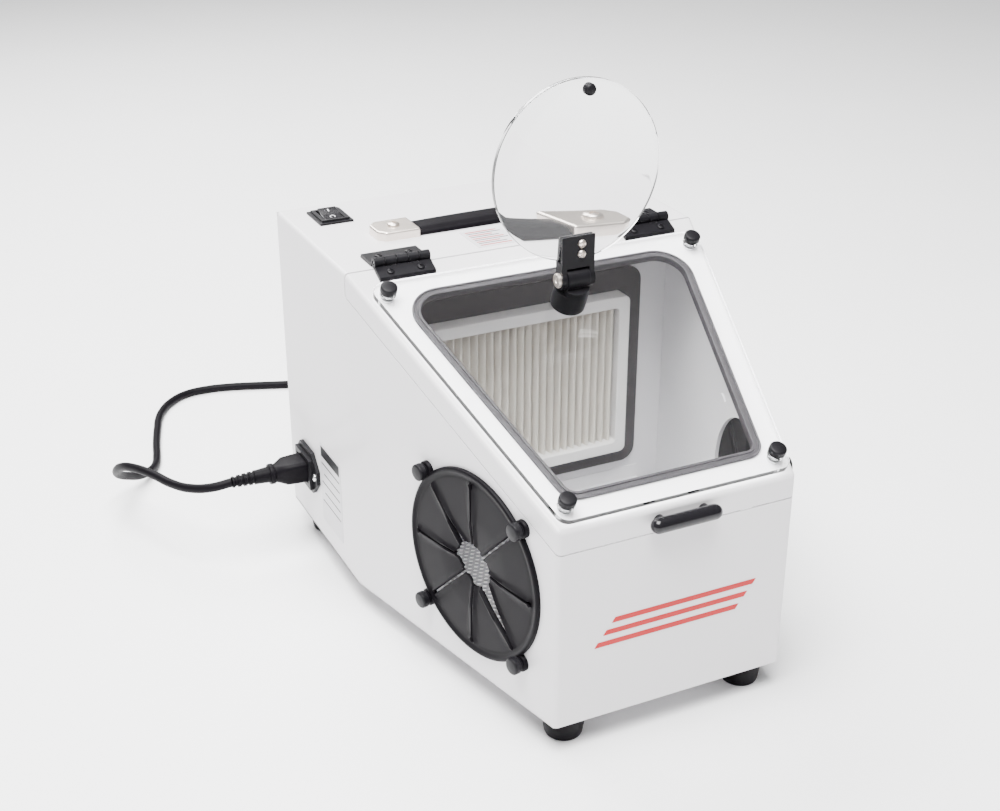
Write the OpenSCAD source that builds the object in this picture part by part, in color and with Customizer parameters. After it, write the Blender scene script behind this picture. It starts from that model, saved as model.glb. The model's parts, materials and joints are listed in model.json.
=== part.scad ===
// Bench-top abrasive blast cabinet with a hinged window lid, two arm ports,
// a magnifier on the window and a dust blower behind a pleated filter.
// Front is -Y, up is +Z, and the origin is on the ground below the middle.

/* [Cabinet] */
// Width of the rear of the cabinet
cab_w = 270; // [240:1:300]
// Width of the front face
front_w = 170; // [160:1:180]
// Depth from the front face to the back face
cab_d = 357; // [345:1:380]
// Depth of the tapered front part, which the lid covers
taper_d = 215; // [208:1:220]
// Height of the sheet metal body without its feet
cab_h = 241; // [232:1:250]
// Height of the lid's front edge above the body's floor
lid_front = 143; // [140:1:146]
// Height of the lid's skirt
skirt_h = 16; // [15:1:18]
// Thickness of the sheet metal
sheet = 1.2; // [1:0.1:1.5]

/* [Feet] */
// Height of a rubber foot
foot_h = 20; // [14:1:24]
// Diameter of a foot where it meets the cabinet
foot_d = 31; // [26:1:34]

/* [Arm ports] */
// Outer diameter of the rubber diaphragm
port_d = 132; // [128:1:134]
// Diameter of the hole in the side wall
port_hole_d = 108; // [100:1:112]
// Side of the square that the four knobs of a port stand on
knob_square = 98; // [98:1:100]

/* [Window] */
// Thickness of the clear pane
pane_t = 4; // [3:0.5:5]
// Thickness of the rubber gasket under the pane
gasket_t = 2; // [1.5:0.5:3]
// Diameter of a hand knob
knob_d = 11.5; // [10.5:0.5:13]
// Height of a hand knob
knob_h = 7; // [6.5:0.5:9]

/* [Magnifier] */
// Diameter of the magnifying lens
lens_d = 120; // [100:1:124]
// Thickness of the lens at its rim
lens_t = 4; // [3:0.5:5]
// How far each face of the lens bulges beyond its rim
lens_bulge = 4.5; // [3:0.5:5]
// Distance up the window of the magnifier's base
base_s = 170; // [165:1:175]

/* [Filter] */
// Width of the filter frame
filter_w = 186; // [170:1:190]
// Height of the filter frame
filter_h = 130; // [120:1:136]
// Spacing of the pleats
pleat_pitch = 6; // [6:1:12]

/* [Handle and switch] */
// Distance between the outer ends of the two handle caps
handle_len = 182; // [170:1:190]
// Width of the carrying strap
strap_w = 24; // [20:1:26]
// Tilt of the switch's rocker from its middle to either side
rocker_tilt = 11; // [9:1:12]

/* [Cord] */
// Mean diameter of the stored coil
coil_d = 76; // [70:1:84]

/* [Hidden] */
$fn = 64;

paint = "whitesmoke";
black = "#26242a";
rubber = "#2e2b30";
foam = "#55505a";
steel = "silver";
card = "#d8d4cc";
clear = [0.85, 0.92, 0.95, 0.35];

// The body's own frame: front face at y = 0, underside of the sheet metal at z = 0.
pull_reach = 13;
screw_head = 2;
front_y = -(cab_d + screw_head - pull_reach) / 2;
half_front = front_w / 2;
half_rear = cab_w / 2;
taper = atan((half_rear - half_front) / taper_d);
slope = atan((cab_h - lid_front) / taper_d);
lid_len = taper_d / cos(slope);
seam = 1;
eps = 0.01;

// Arm ports: place of their centre along the side wall and above the floor.
port_u = 81;
port_z = 83;
petals = 8;
rim_w = 4;
rim_t = 3;
skin_t = 2;
lip_w = 2.5;
lip_h = 1.2;
ear_d = 12;
ring_t = 1.5;
slit_w = 1.2;
slit_r0 = 20;
slit_r1 = 57;

// Window, measured on the lid's plane from its front edge.
stud_d = 4;
run_fit = 0.05;
gap = 0.3;
washer_t = 1;
pane_s0 = 3;
pane_s1 = 217.5;
pane_inset = 4;
gasket_s0 = 16.5;
gasket_s1 = 208;
gasket_inset = 16;
gasket_band = 7;
lip_over = 1;
knob_front = [75, 14];
knob_rear = [116, 205.5];
pane_top = gasket_t + pane_t;

// Hinges.
hinge_x = 93.75;
hinge_w = 40.5;
hinge_pin_d = 3;
hinge_rise = 4;
knuckle_d = 6.8;
leaf_t = 2.8;
knuckles = 5;
knuckle_gap = 0.5;
knuckle_w = (hinge_w - (knuckles - 1) * knuckle_gap) / knuckles;

// Magnifier. Its pivot lies above the pane on a swivelling base.
base_d = 24;
base_h = 20;
base_stud_d = 5;
base_bore = 8;
pivot_rise = 28;
pivot_y = base_s * cos(slope) - (gasket_t + pivot_rise) * sin(slope);
pivot_z = lid_front + base_s * sin(slope) + (gasket_t + pivot_rise) * cos(slope);
pivot_d = 5;
plate_w = 24;
plate_h = 27;
plate_t = 2.5;
lens_drop = 13;
grip_d = 8;
grip_x = 5;
grip_inset = 7;
boss_d = 13;
tongue_w = 16;
clamp_screw_z = [18, 25];
clamp_screw_x = 2;

// Filter and bulkhead.
bulk_y = 244;
filter_z = 116;
foam_t = 4;
foam_margin = 17;
frame_t = 14;
frame_band = 9;
floor_z = 14;
clip_hole_d = 3.6;

// Power inlet, switch and handle.
inlet_y = 314;
inlet_z = 49;
inlet_t = 3;
inlet_collar = 3;
inlet_screws = 20;
switch_x = -104;
switch_y = 327;
rocker_w = 14;
rocker_pivot_z = cab_h - 2;
rocker_pin_d = 3;
strap_y = 274;
strap_t = 5;
cap_len = 31;
cap_t = 6.5;

// Blower behind the bulkhead.
blower_x = 20;
blower_z = 116;
impeller_d = 96;
shaft_d = 6;

// The mains lead, as points on its middle line in the body's frame, chosen by hand.
// It runs out from the connector, turns down to the ground and goes behind the cabinet.
cord_d = 7;
ground = -foot_h + cord_d / 2;
cord_points = [
    [-197, inlet_y, inlet_z], [-212, 318, 46], [-225, 330, 42.5], [-235, 348, 40], [-244, 368, 40],
    [-253, 388, 38], [-260, 407, 32], [-262, 424, 21], [-258, 439, 9], [-248, 452, -1],
    [-236, 464, -9], [-225, 477, -13.5], [-217, 491, -16], [-212, 507, ground],
    [-208, 524, ground], [-203, 543, ground], [-198, 560, ground], [-193, 576, ground],
    [-185, 593, ground], [-173, 608, ground],
    [-156, 619, ground], [-136, 621, ground], [-114, 617, ground], [-90, 609, ground],
    [-66, 600, ground], [-42, 592, ground], [-18, 588.5, ground]
];
coil_rows = 2;
coil_columns = 3;
plug_x = 40;
plug_y = 588.5;
coil_at = [0, plug_y - coil_d / 2 - cord_d];

// ---------- Places ----------

module place() {
    translate([0, front_y, foot_h])
        children();
}

// Local x across, y up the slope and z out of the lid.
module on_lid(x, s, n = 0) {
    place()
        translate([0, 0, lid_front])
            rotate([slope, 0, 0])
                translate([x, s, n])
                    children();
}

// Local x towards the front, y up and z out of the tapered left wall.
module on_wall(u, z) {
    place()
        translate([-half_front - u * sin(taper), u * cos(taper), z])
            rotate([90, 0, taper - 90])
                children();
}

module both_sides() {
    children();
    mirror([1, 0, 0])
        children();
}

module along_x(length) {
    rotate([90, 0, 90])
        translate([0, 0, -length / 2])
            linear_extrude(length)
                children();
}

// ---------- Shapes ----------

function half_at(y) = y < taper_d ? half_front + y * tan(taper) : half_rear;
function inner_half(y, t) = y < taper_d ? half_at(y) - t / cos(taper) : half_rear - t;
function lid_z(y) = lid_front + y * tan(slope);
function arc(c, r, a0, a1, n = 8) = [
    for (i = [0:n]) let (a = a0 + (a1 - a0) * i / n) c + r * [cos(a), sin(a)]
];

// A rectangle with round corners, written out as straight sides and arcs.
function round_rect(w, h, r) = concat(
    arc([w / 2 - r, h / 2 - r], r, 0, 90),
    arc([-w / 2 + r, h / 2 - r], r, 90, 180),
    arc([-w / 2 + r, -h / 2 + r], r, 180, 270),
    arc([w / 2 - r, -h / 2 + r], r, 270, 360)
);

// Half width of the lid at a distance s up its slope, less an inset square to its edge.
lid_flare = atan((half_rear - half_front) / lid_len);
function lid_half(s, inset) = half_front + s * tan(lid_flare) - inset / cos(lid_flare);

// A symmetric trapezoid on the lid's plane with round corners.
function lid_panel(s0, s1, inset, r0, r1) = let (
    a = lid_half(s0 + r0, inset) - r0 / cos(lid_flare),
    b = lid_half(s1 - r1, inset) - r1 / cos(lid_flare)
) concat(
    arc([a, s0 + r0], r0, -90, -lid_flare),
    arc([b, s1 - r1], r1, -lid_flare, 90),
    arc([-b, s1 - r1], r1, 90, 180 + lid_flare),
    arc([-a, s0 + r0], r0, 180 + lid_flare, 270)
);

// The region under the lid's plane, between two depths measured straight down.
module under_lid(top, bottom, y0, y1) {
    along_x(cab_w + 40)
        polygon([
            [y0, lid_z(y0) - top], [y1, lid_z(y1) - top],
            [y1, lid_z(y1) - bottom], [y0, lid_z(y0) - bottom]
        ]);
}

module tube(od, id, h) {
    difference() {
        cylinder(h = h, d = od);
        translate([0, 0, -1])
            cylinder(h = h + 2, d = id);
    }
}

// A pan-head screw: its head's underside is at z = 0 and its shank runs down.
module screw(d, length, head_d, head_h) {
    difference() {
        union() {
            cylinder(h = head_h, d1 = head_d, d2 = head_d * 0.72);
            translate([0, 0, -length])
                cylinder(h = length + eps, d = d);
        }
        translate([0, 0, head_h - 0.4])
            cube([head_d, 0.7, 1], center = true);
        translate([0, 0, head_h - 0.4])
            cube([0.7, head_d, 1], center = true);
    }
}

// ---------- Sheet metal body ----------

module front_panel() {
    h = lid_front - skirt_h - seam;
    color(paint)
        place()
            linear_extrude(h)
                polygon([
                    [-half_front, 0], [half_front, 0],
                    [half_at(sheet), sheet], [-half_at(sheet), sheet]
                ]);
}

// Left side: one sheet with an upright bend where the taper ends.
module side_sheet() {
    front_top = lid_front - skirt_h - seam;
    bend_in = taper_d + sheet * tan(taper / 2);
    place()
        intersection() {
            linear_extrude(cab_h)
                polygon([
                    [-half_at(sheet), sheet], [-half_rear, taper_d], [-half_rear, cab_d - sheet],
                    [-half_rear + sheet, cab_d - sheet], [-half_rear + sheet, bend_in],
                    [-inner_half(sheet, sheet), sheet]
                ]);
            along_x(cab_w + 40)
                polygon([
                    [0, sheet], [cab_d, sheet], [cab_d, cab_h - sheet], [taper_d, cab_h - sheet],
                    [taper_d, cab_h - skirt_h - seam], [0, front_top]
                ]);
        }
}

module port_cut() {
    on_wall(port_u, port_z) {
        cylinder(h = 20, d = port_hole_d, center = true);
        at_knobs()
            cylinder(h = 20, d = stud_d, center = true);
    }
}

// The four corners of a port's knob square.
module at_knobs() {
    for (x = [-1, 1], y = [-1, 1])
        translate([x * knob_square / 2, y * knob_square / 2, 0])
            children();
}

module side_panel_left() {
    color(paint)
        difference() {
            side_sheet();
            port_cut();
            place()
                translate([-half_rear, inlet_y, inlet_z])
                    rotate([0, 90, 0]) {
                        cube([22, 30, 8], center = true);
                        for (y = [-inlet_screws, inlet_screws])
                            translate([0, y, 0])
                                cylinder(h = 8, d = 3, center = true);
                    }
        }
}

module side_panel_right() {
    color(paint)
        mirror([1, 0, 0])
            difference() {
                side_sheet();
                port_cut();
            }
}

module floor_pan() {
    color(paint)
        place()
            difference() {
                linear_extrude(sheet)
                    polygon([
                        [-half_at(sheet), sheet], [half_at(sheet), sheet], [half_rear, taper_d],
                        [half_rear, cab_d - sheet], [-half_rear, cab_d - sheet], [-half_rear, taper_d]
                    ]);
                at_feet()
                    cylinder(h = 8, d = 4, center = true);
            }
}

module switch_hole() {
    translate([switch_x, switch_y, cab_h])
        cube([22, 28, 10], center = true);
}

module at_handle_screws() {
    for (side = [-1, 1])
        translate([side * (handle_len - cap_len) / 2, strap_y, cab_h])
            children();
}

module top_panel() {
    color(paint)
        place()
            difference() {
                translate([-half_rear, taper_d, cab_h - sheet])
                    cube([cab_w, cab_d - sheet - taper_d, sheet]);
                switch_hole();
                at_handle_screws()
                    cylinder(h = 10, d = 4, center = true);
                at_hinge_screws_upper()
                    cylinder(h = 10, d = 3, center = true);
            }
}

module back_panel() {
    vents = 9;
    vent_l = 60;
    vent_w = 4;
    vent_x = 36;
    vent_pitch = 10;
    vent_z0 = blower_z - (vents - 1) / 2 * vent_pitch;
    color(paint)
        place()
            difference() {
                translate([-half_rear, cab_d - sheet, 0])
                    cube([cab_w, sheet, cab_h]);
                for (i = [0:vents - 1], x = [-1, 1])
                    translate([blower_x + x * vent_x - vent_l / 2, cab_d - 4, vent_z0 + i * vent_pitch])
                        cube([vent_l, 8, vent_w]);
                at_back_screws()
                    cylinder(h = 10, d = 3, center = true);
            }
}

// Corner screws of the back panel, with z out of the panel.
module at_back_screws() {
    for (x = [-1, 1], z = [16, cab_h - 16])
        translate([x * (half_rear - 14), cab_d, z])
            rotate([-90, 0, 0])
                children();
}

module bulkhead() {
    color(paint)
        place()
            difference() {
                translate([-half_rear + sheet, bulk_y, sheet])
                    cube([cab_w - 2 * sheet, sheet, cab_h - 2 * sheet]);
                translate([0, bulk_y, filter_z])
                    cube([filter_w - 30, 10, filter_h - 30], center = true);
            }
}

// Raised floor of punched plate, which the abrasive falls through.
module grit_screen() {
    hole_pitch = 14;
    y0 = 6;
    y1 = bulk_y - 8;
    color(steel)
        place()
            difference() {
                translate([0, 0, floor_z - sheet])
                    linear_extrude(sheet)
                        polygon([
                            [-inner_half(y0, sheet + 1), y0], [inner_half(y0, sheet + 1), y0],
                            [inner_half(taper_d, sheet + 1), taper_d], [half_rear - sheet - 1, y1],
                            [-half_rear + sheet + 1, y1], [-inner_half(taper_d, sheet + 1), taper_d]
                        ]);
                for (iy = [0:9], ix = [-4:4])
                    translate([ix * hole_pitch, 40 + iy * hole_pitch, floor_z])
                        cylinder(h = 6, d = 6, center = true, $fn = 16);
                at_clip_screws()
                    cylinder(h = 8, d = clip_hole_d, center = true);
            }
}

// Angle strip that holds the screen's rear edge to the bulkhead.
module screen_clip() {
    strip_w = 18;
    length = cab_w - 40;
    color(paint)
        place()
            difference() {
                union() {
                    translate([-length / 2, bulk_y - strip_w, floor_z])
                        cube([length, strip_w, sheet]);
                    translate([-length / 2, bulk_y - sheet, floor_z])
                        cube([length, sheet, 12]);
                }
                at_clip_screws()
                    cylinder(h = 8, d = clip_hole_d, center = true);
            }
}

module at_clip_screws() {
    for (x = [-1, 1], dx = [0, 18])
        translate([x * (86 + dx), bulk_y - 9, floor_z + sheet])
            children();
}

// ---------- Filter ----------

module upright_frame(w, h, t, r, band) {
    rotate([90, 0, 0])
        linear_extrude(t)
            difference() {
                polygon(round_rect(w, h, r));
                polygon(round_rect(w - 2 * band, h - 2 * band, max(r - band, 3)));
            }
}

module filter_gasket() {
    color(foam)
        place()
            translate([0, bulk_y, filter_z])
                upright_frame(
                    filter_w + 2 * foam_margin, filter_h + 2 * foam_margin,
                    foam_t, 12, foam_margin + 14
                );
}

module filter_frame() {
    color(card)
        place()
            translate([0, bulk_y - foam_t, filter_z])
                upright_frame(filter_w, filter_h, frame_t, 5, frame_band);
}

module filter_media() {
    w = filter_w - 2 * frame_band - 0.4;
    h = filter_h - 2 * frame_band - 0.4;
    count = floor(w / pleat_pitch);
    step = w / count;
    depth = 9;
    wall = 1;
    color("ivory")
        place()
            translate([-w / 2, bulk_y - foam_t - 1, filter_z - h / 2])
                linear_extrude(h)
                    polygon(concat(
                        [for (i = [0:2 * count]) [i * step / 2, (i % 2 == 0) ? 0 : -depth]],
                        [for (i = [2 * count:-1:0]) [i * step / 2, ((i % 2 == 0) ? 0 : -depth) - wall]]
                    ));
}

// ---------- Arm ports ----------

// Steel ring inside the wall, with four welded studs that pass through it.
module port_ring() {
    ring_d = knob_square * sqrt(2) - 4;
    back = -sheet - ring_t;
    on_wall(port_u, port_z)
        translate([0, 0, back]) {
            difference() {
                union() {
                    cylinder(h = ring_t, d = ring_d);
                    at_knobs()
                        cylinder(h = ring_t, d = ear_d);
                }
                translate([0, 0, -1])
                    cylinder(h = ring_t + 2, d = port_hole_d);
            }
            at_knobs()
                cylinder(h = rim_t + knob_h - 2 - back, d = stud_d);
        }
}

module port_rings() {
    color(steel)
        both_sides()
            port_ring();
}

// Rubber disc cut into petals: a thin rim with four ears, lips along the slits and
// an eye in the middle, with one slit that gapes down to the front.
module port_diaphragm() {
    eye_d = 32;
    gap_l = 50;
    tail_l = 36;
    gap_w = 11;
    petal = 360 / petals;
    on_wall(port_u, port_z)
        difference() {
            union() {
                cylinder(h = skin_t, d = port_d);
                tube(port_d, port_d - 2 * rim_w, rim_t);
                at_knobs()
                    cylinder(h = rim_t, d = ear_d);
                for (i = [0:petals - 1])
                    rotate([0, 0, i * petal])
                        translate([slit_r0, -lip_w, 0])
                            cube([slit_r1 - slit_r0 + 3, 2 * lip_w, skin_t + lip_h]);
            }
            for (i = [0:petals - 1])
                rotate([0, 0, i * petal])
                    translate([0, -slit_w / 2, -1])
                        cube([slit_r1, slit_w, 10]);
            translate([0, 0, -1]) {
                cylinder(h = 10, d = eye_d);
                rotate([0, 0, -45])
                    linear_extrude(10)
                        polygon([
                            [gap_l, -slit_w / 2], [gap_l, slit_w / 2],
                            [0, gap_w / 2], [-tail_l, 0], [0, -gap_w / 2]
                        ]);
            }
            at_knobs()
                translate([0, 0, -1])
                    cylinder(h = 10, d = stud_d);
        }
}

module port_diaphragm_left() {
    color(rubber)
        port_diaphragm();
}

module port_diaphragm_right() {
    color(rubber)
        mirror([1, 0, 0])
            port_diaphragm();
}

// Hand knob: round head with a groove, blind bore underneath, z = 0 at its foot.
module knob() {
    crown = 2.5;
    r = knob_d / 2;
    color(black)
        difference() {
            rotate_extrude()
                polygon(concat(
                    [[0, 0], [r - 1.2, 0], [r - 1.2, 2.4], [r, 2.9], [r, knob_h - crown]],
                    [for (a = [15:15:90]) [(r - 2) + 2 * cos(a), knob_h - crown * (1 - sin(a))]],
                    [[0, knob_h]]
                ));
            translate([0, 0, -1])
                cylinder(h = knob_h - 1, d = stud_d + 2 * run_fit);
        }
}

module port_knob(side, row) {
    on_wall(port_u, port_z)
        translate([side * knob_square / 2, row * knob_square / 2, rim_t + gap])
            knob();
}

module port_knob_left_upper_front() { port_knob(1, 1); }
module port_knob_left_upper_rear() { port_knob(-1, 1); }
module port_knob_left_lower_front() { port_knob(1, -1); }
module port_knob_left_lower_rear() { port_knob(-1, -1); }
module port_knob_right_upper_front() { mirror([1, 0, 0]) port_knob(1, 1); }
module port_knob_right_upper_rear() { mirror([1, 0, 0]) port_knob(-1, 1); }
module port_knob_right_lower_front() { mirror([1, 0, 0]) port_knob(1, -1); }
module port_knob_right_lower_rear() { mirror([1, 0, 0]) port_knob(-1, -1); }

// ---------- Lid and window ----------

module at_window_knobs() {
    for (p = [knob_front, knob_rear], side = [-1, 1])
        on_lid(side * p[0], p[1])
            children();
}

module lid_shell(inset, top, bottom) {
    y0 = inset;
    y1 = taper_d - seam + eps;
    place()
        intersection() {
            linear_extrude(cab_h + 10)
                polygon([
                    [-inner_half(y0, inset), y0], [inner_half(y0, inset), y0],
                    [inner_half(y1, inset), y1], [-inner_half(y1, inset), y1]
                ]);
            under_lid(top, bottom, -5, taper_d + 5);
        }
}

module lid_frame() {
    color(paint)
        difference() {
            lid_shell(0, 0, skirt_h);
            difference() {
                lid_shell(sheet, sheet / cos(slope), skirt_h + 5);
                on_lid(0, lid_len, -10)
                    cube([cab_w * 2, 6, 60], center = true);
            }
            on_lid(0, 0, -10)
                linear_extrude(20)
                    polygon(lid_panel(
                        gasket_s0 + gasket_band - lip_over, gasket_s1 - gasket_band + lip_over,
                        gasket_inset + gasket_band - lip_over, 9, 18
                    ));
            at_window_knobs()
                cylinder(h = 20, d = stud_d, center = true);
            at_hinge_screws_lower()
                cylinder(h = 10, d = 3, center = true);
            place()
                at_pull_posts()
                    rotate([90, 0, 0])
                        cylinder(h = 12, d = 4, center = true);
        }
}

module window_gasket() {
    color(foam)
        on_lid(0, 0)
            linear_extrude(gasket_t)
                difference() {
                    polygon(lid_panel(gasket_s0, gasket_s1, gasket_inset, 15, 25));
                    polygon(lid_panel(
                        gasket_s0 + gasket_band, gasket_s1 - gasket_band,
                        gasket_inset + gasket_band, 8, 18
                    ));
                }
}

module window_pane() {
    color(clear)
        difference() {
            on_lid(0, 0, gasket_t)
                linear_extrude(pane_t)
                    polygon(lid_panel(pane_s0, pane_s1, pane_inset, 8, 10));
            at_window_knobs()
                cylinder(h = 30, d = stud_d, center = true);
            on_lid(0, base_s)
                cylinder(h = 30, d = base_stud_d, center = true);
        }
}

// Welded studs with a washer under each knob and a spacer under the pane, and the
// headed stud that the magnifier's base turns on.
module window_studs() {
    color(steel) {
        on_lid(0, base_s, 0) {
            cylinder(h = pane_top + base_bore - 0.5, d = base_stud_d);
            cylinder(h = gasket_t, d = 9);
        }
        at_window_knobs() {
            translate([0, 0, -sheet])
                cylinder(h = sheet + pane_top + washer_t + knob_h - 2, d = stud_d);
            tube(9, stud_d, gasket_t);
            translate([0, 0, pane_top])
                tube(11, stud_d, washer_t);
        }
    }
}

module window_knob(side, p) {
    on_lid(side * p[0], p[1], pane_top + washer_t + gap)
        knob();
}

module window_knob_front_left() { window_knob(-1, knob_front); }
module window_knob_front_right() { window_knob(1, knob_front); }
module window_knob_rear_left() { window_knob(-1, knob_rear); }
module window_knob_rear_right() { window_knob(1, knob_rear); }

// Centres of the two posts of the lid's pull, on the front of the skirt.
module at_pull_posts() {
    for (x = [-1, 1])
        translate([x * 16, 0, lid_front - 7.5])
            children();
}

module lid_pull() {
    rod_d = 10;
    rod_l = 50;
    color(black)
        place()
            difference() {
                union() {
                    translate([-(rod_l - rod_d) / 2, -pull_reach + rod_d / 2, lid_front - 7.5])
                        rotate([0, 90, 0]) {
                            cylinder(h = rod_l - rod_d, d = rod_d);
                            sphere(d = rod_d);
                            translate([0, 0, rod_l - rod_d])
                                sphere(d = rod_d);
                        }
                    at_pull_posts()
                        rotate([90, 0, 0])
                            cylinder(h = pull_reach - rod_d / 2, d = 7);
                }
                at_pull_posts()
                    rotate([90, 0, 0])
                        cylinder(h = 14, d = 4, center = true);
            }
}

module lid_pull_screws() {
    color(steel)
        place()
            at_pull_posts()
                translate([0, sheet, 0])
                    rotate([-90, 0, 0])
                        screw(4, 8 + sheet - 1, 7, 2.2);
}

// ---------- Hinges ----------

module at_hinges() {
    both_sides()
        translate([hinge_x, 0, 0])
            children();
}

// Knuckles counted from one end; even ones belong to the lid's leaf.
module hinge_knuckle(i, bore) {
    translate([-hinge_w / 2 + i * (knuckle_w + knuckle_gap), taper_d, cab_h + hinge_rise])
        rotate([0, 90, 0])
            tube(knuckle_d, bore, knuckle_w);
}

module hinge_web(i) {
    translate([-hinge_w / 2 + i * (knuckle_w + knuckle_gap), 0, 0])
        children();
}

module hinge_bore(bore) {
    translate([0, taper_d, cab_h + hinge_rise])
        rotate([0, 90, 0])
            cylinder(h = hinge_w + 2, d = bore, center = true);
}

module hinge_upper_leaves() {
    leaf_y0 = taper_d + knuckle_d / 2 + 0.6;
    leaf_y1 = 239.5;
    color(black)
        place()
            at_hinges()
                difference() {
                    union() {
                        along_x(hinge_w)
                            polygon([
                                [leaf_y0, cab_h], [leaf_y1, cab_h],
                                [leaf_y1 - 1.5, cab_h + leaf_t], [leaf_y0, cab_h + leaf_t]
                            ]);
                        for (i = [1:2:knuckles - 1]) {
                            hinge_knuckle(i, hinge_pin_d);
                            hinge_web(i)
                                translate([0, taper_d + 1.2, cab_h + 0.6])
                                    cube([knuckle_w, 4, leaf_t - 0.6]);
                        }
                    }
                    hinge_bore(hinge_pin_d);
                    for (x = [-11, 11])
                        translate([x, 228.5, cab_h])
                            cylinder(h = 10, d = 3, center = true);
                }
}

module hinge_lower_leaves() {
    leaf_s0 = 222.5;
    leaf_s1 = lid_len + hinge_rise * sin(slope) - knuckle_d / 2 - 0.6;
    color(black)
        difference() {
            union() {
                on_lid(0, 0)
                    at_hinges()
                        along_x(hinge_w)
                            polygon([
                                [leaf_s0, 0], [leaf_s1, 0],
                                [leaf_s1, leaf_t], [leaf_s0 + 1.5, leaf_t]
                            ]);
                place()
                    at_hinges()
                        for (i = [0:2:knuckles - 1])
                            hinge_knuckle(i, hinge_pin_d + 2 * run_fit);
                on_lid(0, 0)
                    at_hinges()
                        for (i = [0:2:knuckles - 1])
                            hinge_web(i)
                                translate([0, leaf_s1 - 1, 0.6])
                                    cube([knuckle_w, 4, leaf_t - 0.6]);
            }
            place()
                at_hinges()
                    hinge_bore(hinge_pin_d + 2 * run_fit);
            at_hinge_screws_lower()
                cylinder(h = 10, d = 3, center = true);
        }
}

module hinge_pins() {
    color(steel)
        place()
            at_hinges()
                translate([-hinge_w / 2 + 0.5, taper_d, cab_h + hinge_rise])
                    rotate([0, 90, 0])
                        cylinder(h = hinge_w - 1, d = hinge_pin_d);
}

module at_hinge_screws_upper() {
    at_hinges()
        for (x = [-11, 11])
            translate([x, 228.5, cab_h])
                children();
}

module at_hinge_screws_lower() {
    on_lid(0, 0)
        at_hinges()
            for (x = [-11, 11])
                translate([x, 228.5, 0])
                    children();
}

module hinge_screws_upper() {
    color(black)
        place()
            at_hinge_screws_upper()
                translate([0, 0, leaf_t])
                    screw(3, leaf_t + 5, 5.2, 1.2);
}

module hinge_screws_lower() {
    color(black)
        at_hinge_screws_lower()
            translate([0, 0, leaf_t])
                screw(3, leaf_t + 4, 5.2, 1.2);
}

// ---------- Magnifier ----------

// The base turns on a stud through the pane, and its tongue holds the pivot screw.
module magnifier_base() {
    top = pane_top + base_h;
    pivot_n = gasket_t + pivot_rise;
    color(black)
        difference() {
            union() {
                on_lid(0, base_s, pane_top + gap)
                    cylinder(h = base_h - gap, d = base_d);
                on_lid(0, base_s, top - 8)
                    intersection() {
                        cylinder(h = 22, d = base_d);
                        translate([0, 0, pivot_n - top + 8])
                            rotate([0, 90, 0])
                                cylinder(h = base_d, d = 15, center = true);
                    }
            }
            for (side = [-1, 1])
                on_lid(side * (tongue_w / 2 + 20), base_s, pivot_n + 20 - boss_d / 2 - 1.7)
                    cube([40, 60, 40], center = true);
            on_lid(0, base_s, pivot_n)
                rotate([0, 90, 0])
                    cylinder(h = 60, d = pivot_d + 2 * run_fit, center = true);
            on_lid(0, base_s, pane_top)
                cylinder(h = base_bore, d = base_stud_d + 2 * run_fit);
        }
}

// The lens stands between two plates, whose cheeks straddle the base's tongue.
module magnifier_clamp() {
    cheek_x = tongue_w / 2 + gap;
    cheek_w = plate_w / 2 - cheek_x;
    plate_z = 8.4;
    color(black)
        place()
            translate([0, pivot_y, pivot_z])
                difference() {
                    union() {
                        both_sides()
                            translate([cheek_x, 0, 0]) {
                                rotate([0, 90, 0])
                                    cylinder(h = cheek_w, d = boss_d);
                                translate([0, -lens_t / 2 - plate_t, 0])
                                    cube([cheek_w, lens_t + 2 * plate_t, lens_drop - 1]);
                            }
                        for (y = [-lens_t / 2 - plate_t, lens_t / 2])
                            translate([-plate_w / 2, y, plate_z])
                                cube([plate_w, plate_t, plate_h - 5]);
                        translate([-plate_w / 2, -lens_t / 2 - plate_t, plate_z])
                            cube([plate_w, lens_t + 2 * plate_t, 3.6]);
                    }
                    rotate([0, 90, 0])
                        cylinder(h = 40, d = pivot_d, center = true);
                    for (z = clamp_screw_z)
                        translate([clamp_screw_x, 0, z])
                            rotate([90, 0, 0])
                                cylinder(h = 20, d = 3, center = true);
                }
}

module magnifier_screws() {
    head_d = 10;
    head_t = 2;
    color(steel)
        place()
            translate([0, pivot_y, pivot_z]) {
                for (z = clamp_screw_z)
                    translate([clamp_screw_x, -lens_t / 2 - plate_t, z])
                        rotate([90, 0, 0])
                            screw(3, lens_t + 2 * plate_t, 5.6, 2.2);
                translate([-plate_w / 2 - head_t, 0, 0])
                    rotate([0, 90, 0])
                        difference() {
                            union() {
                                cylinder(h = head_t, d = head_d);
                                cylinder(h = plate_w + head_t, d = pivot_d);
                            }
                            cylinder(h = head_t, d = 3, center = true);
                        }
            }
}

// One bulging face of the lens, with z = 0 on the middle plane.
module lens_cap() {
    rim = 2;
    reach = lens_d / 2 - rim;
    radius = (reach * reach + lens_bulge * lens_bulge) / (2 * lens_bulge);
    half = asin(reach / radius);
    rotate_extrude($fn = 96)
        polygon(concat(
            [[0, 0]],
            [for (i = [12:-1:0]) [
                radius * sin(half * i / 12),
                lens_t / 2 + radius * (cos(half * i / 12) - cos(half))
            ]]
        ));
}

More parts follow.
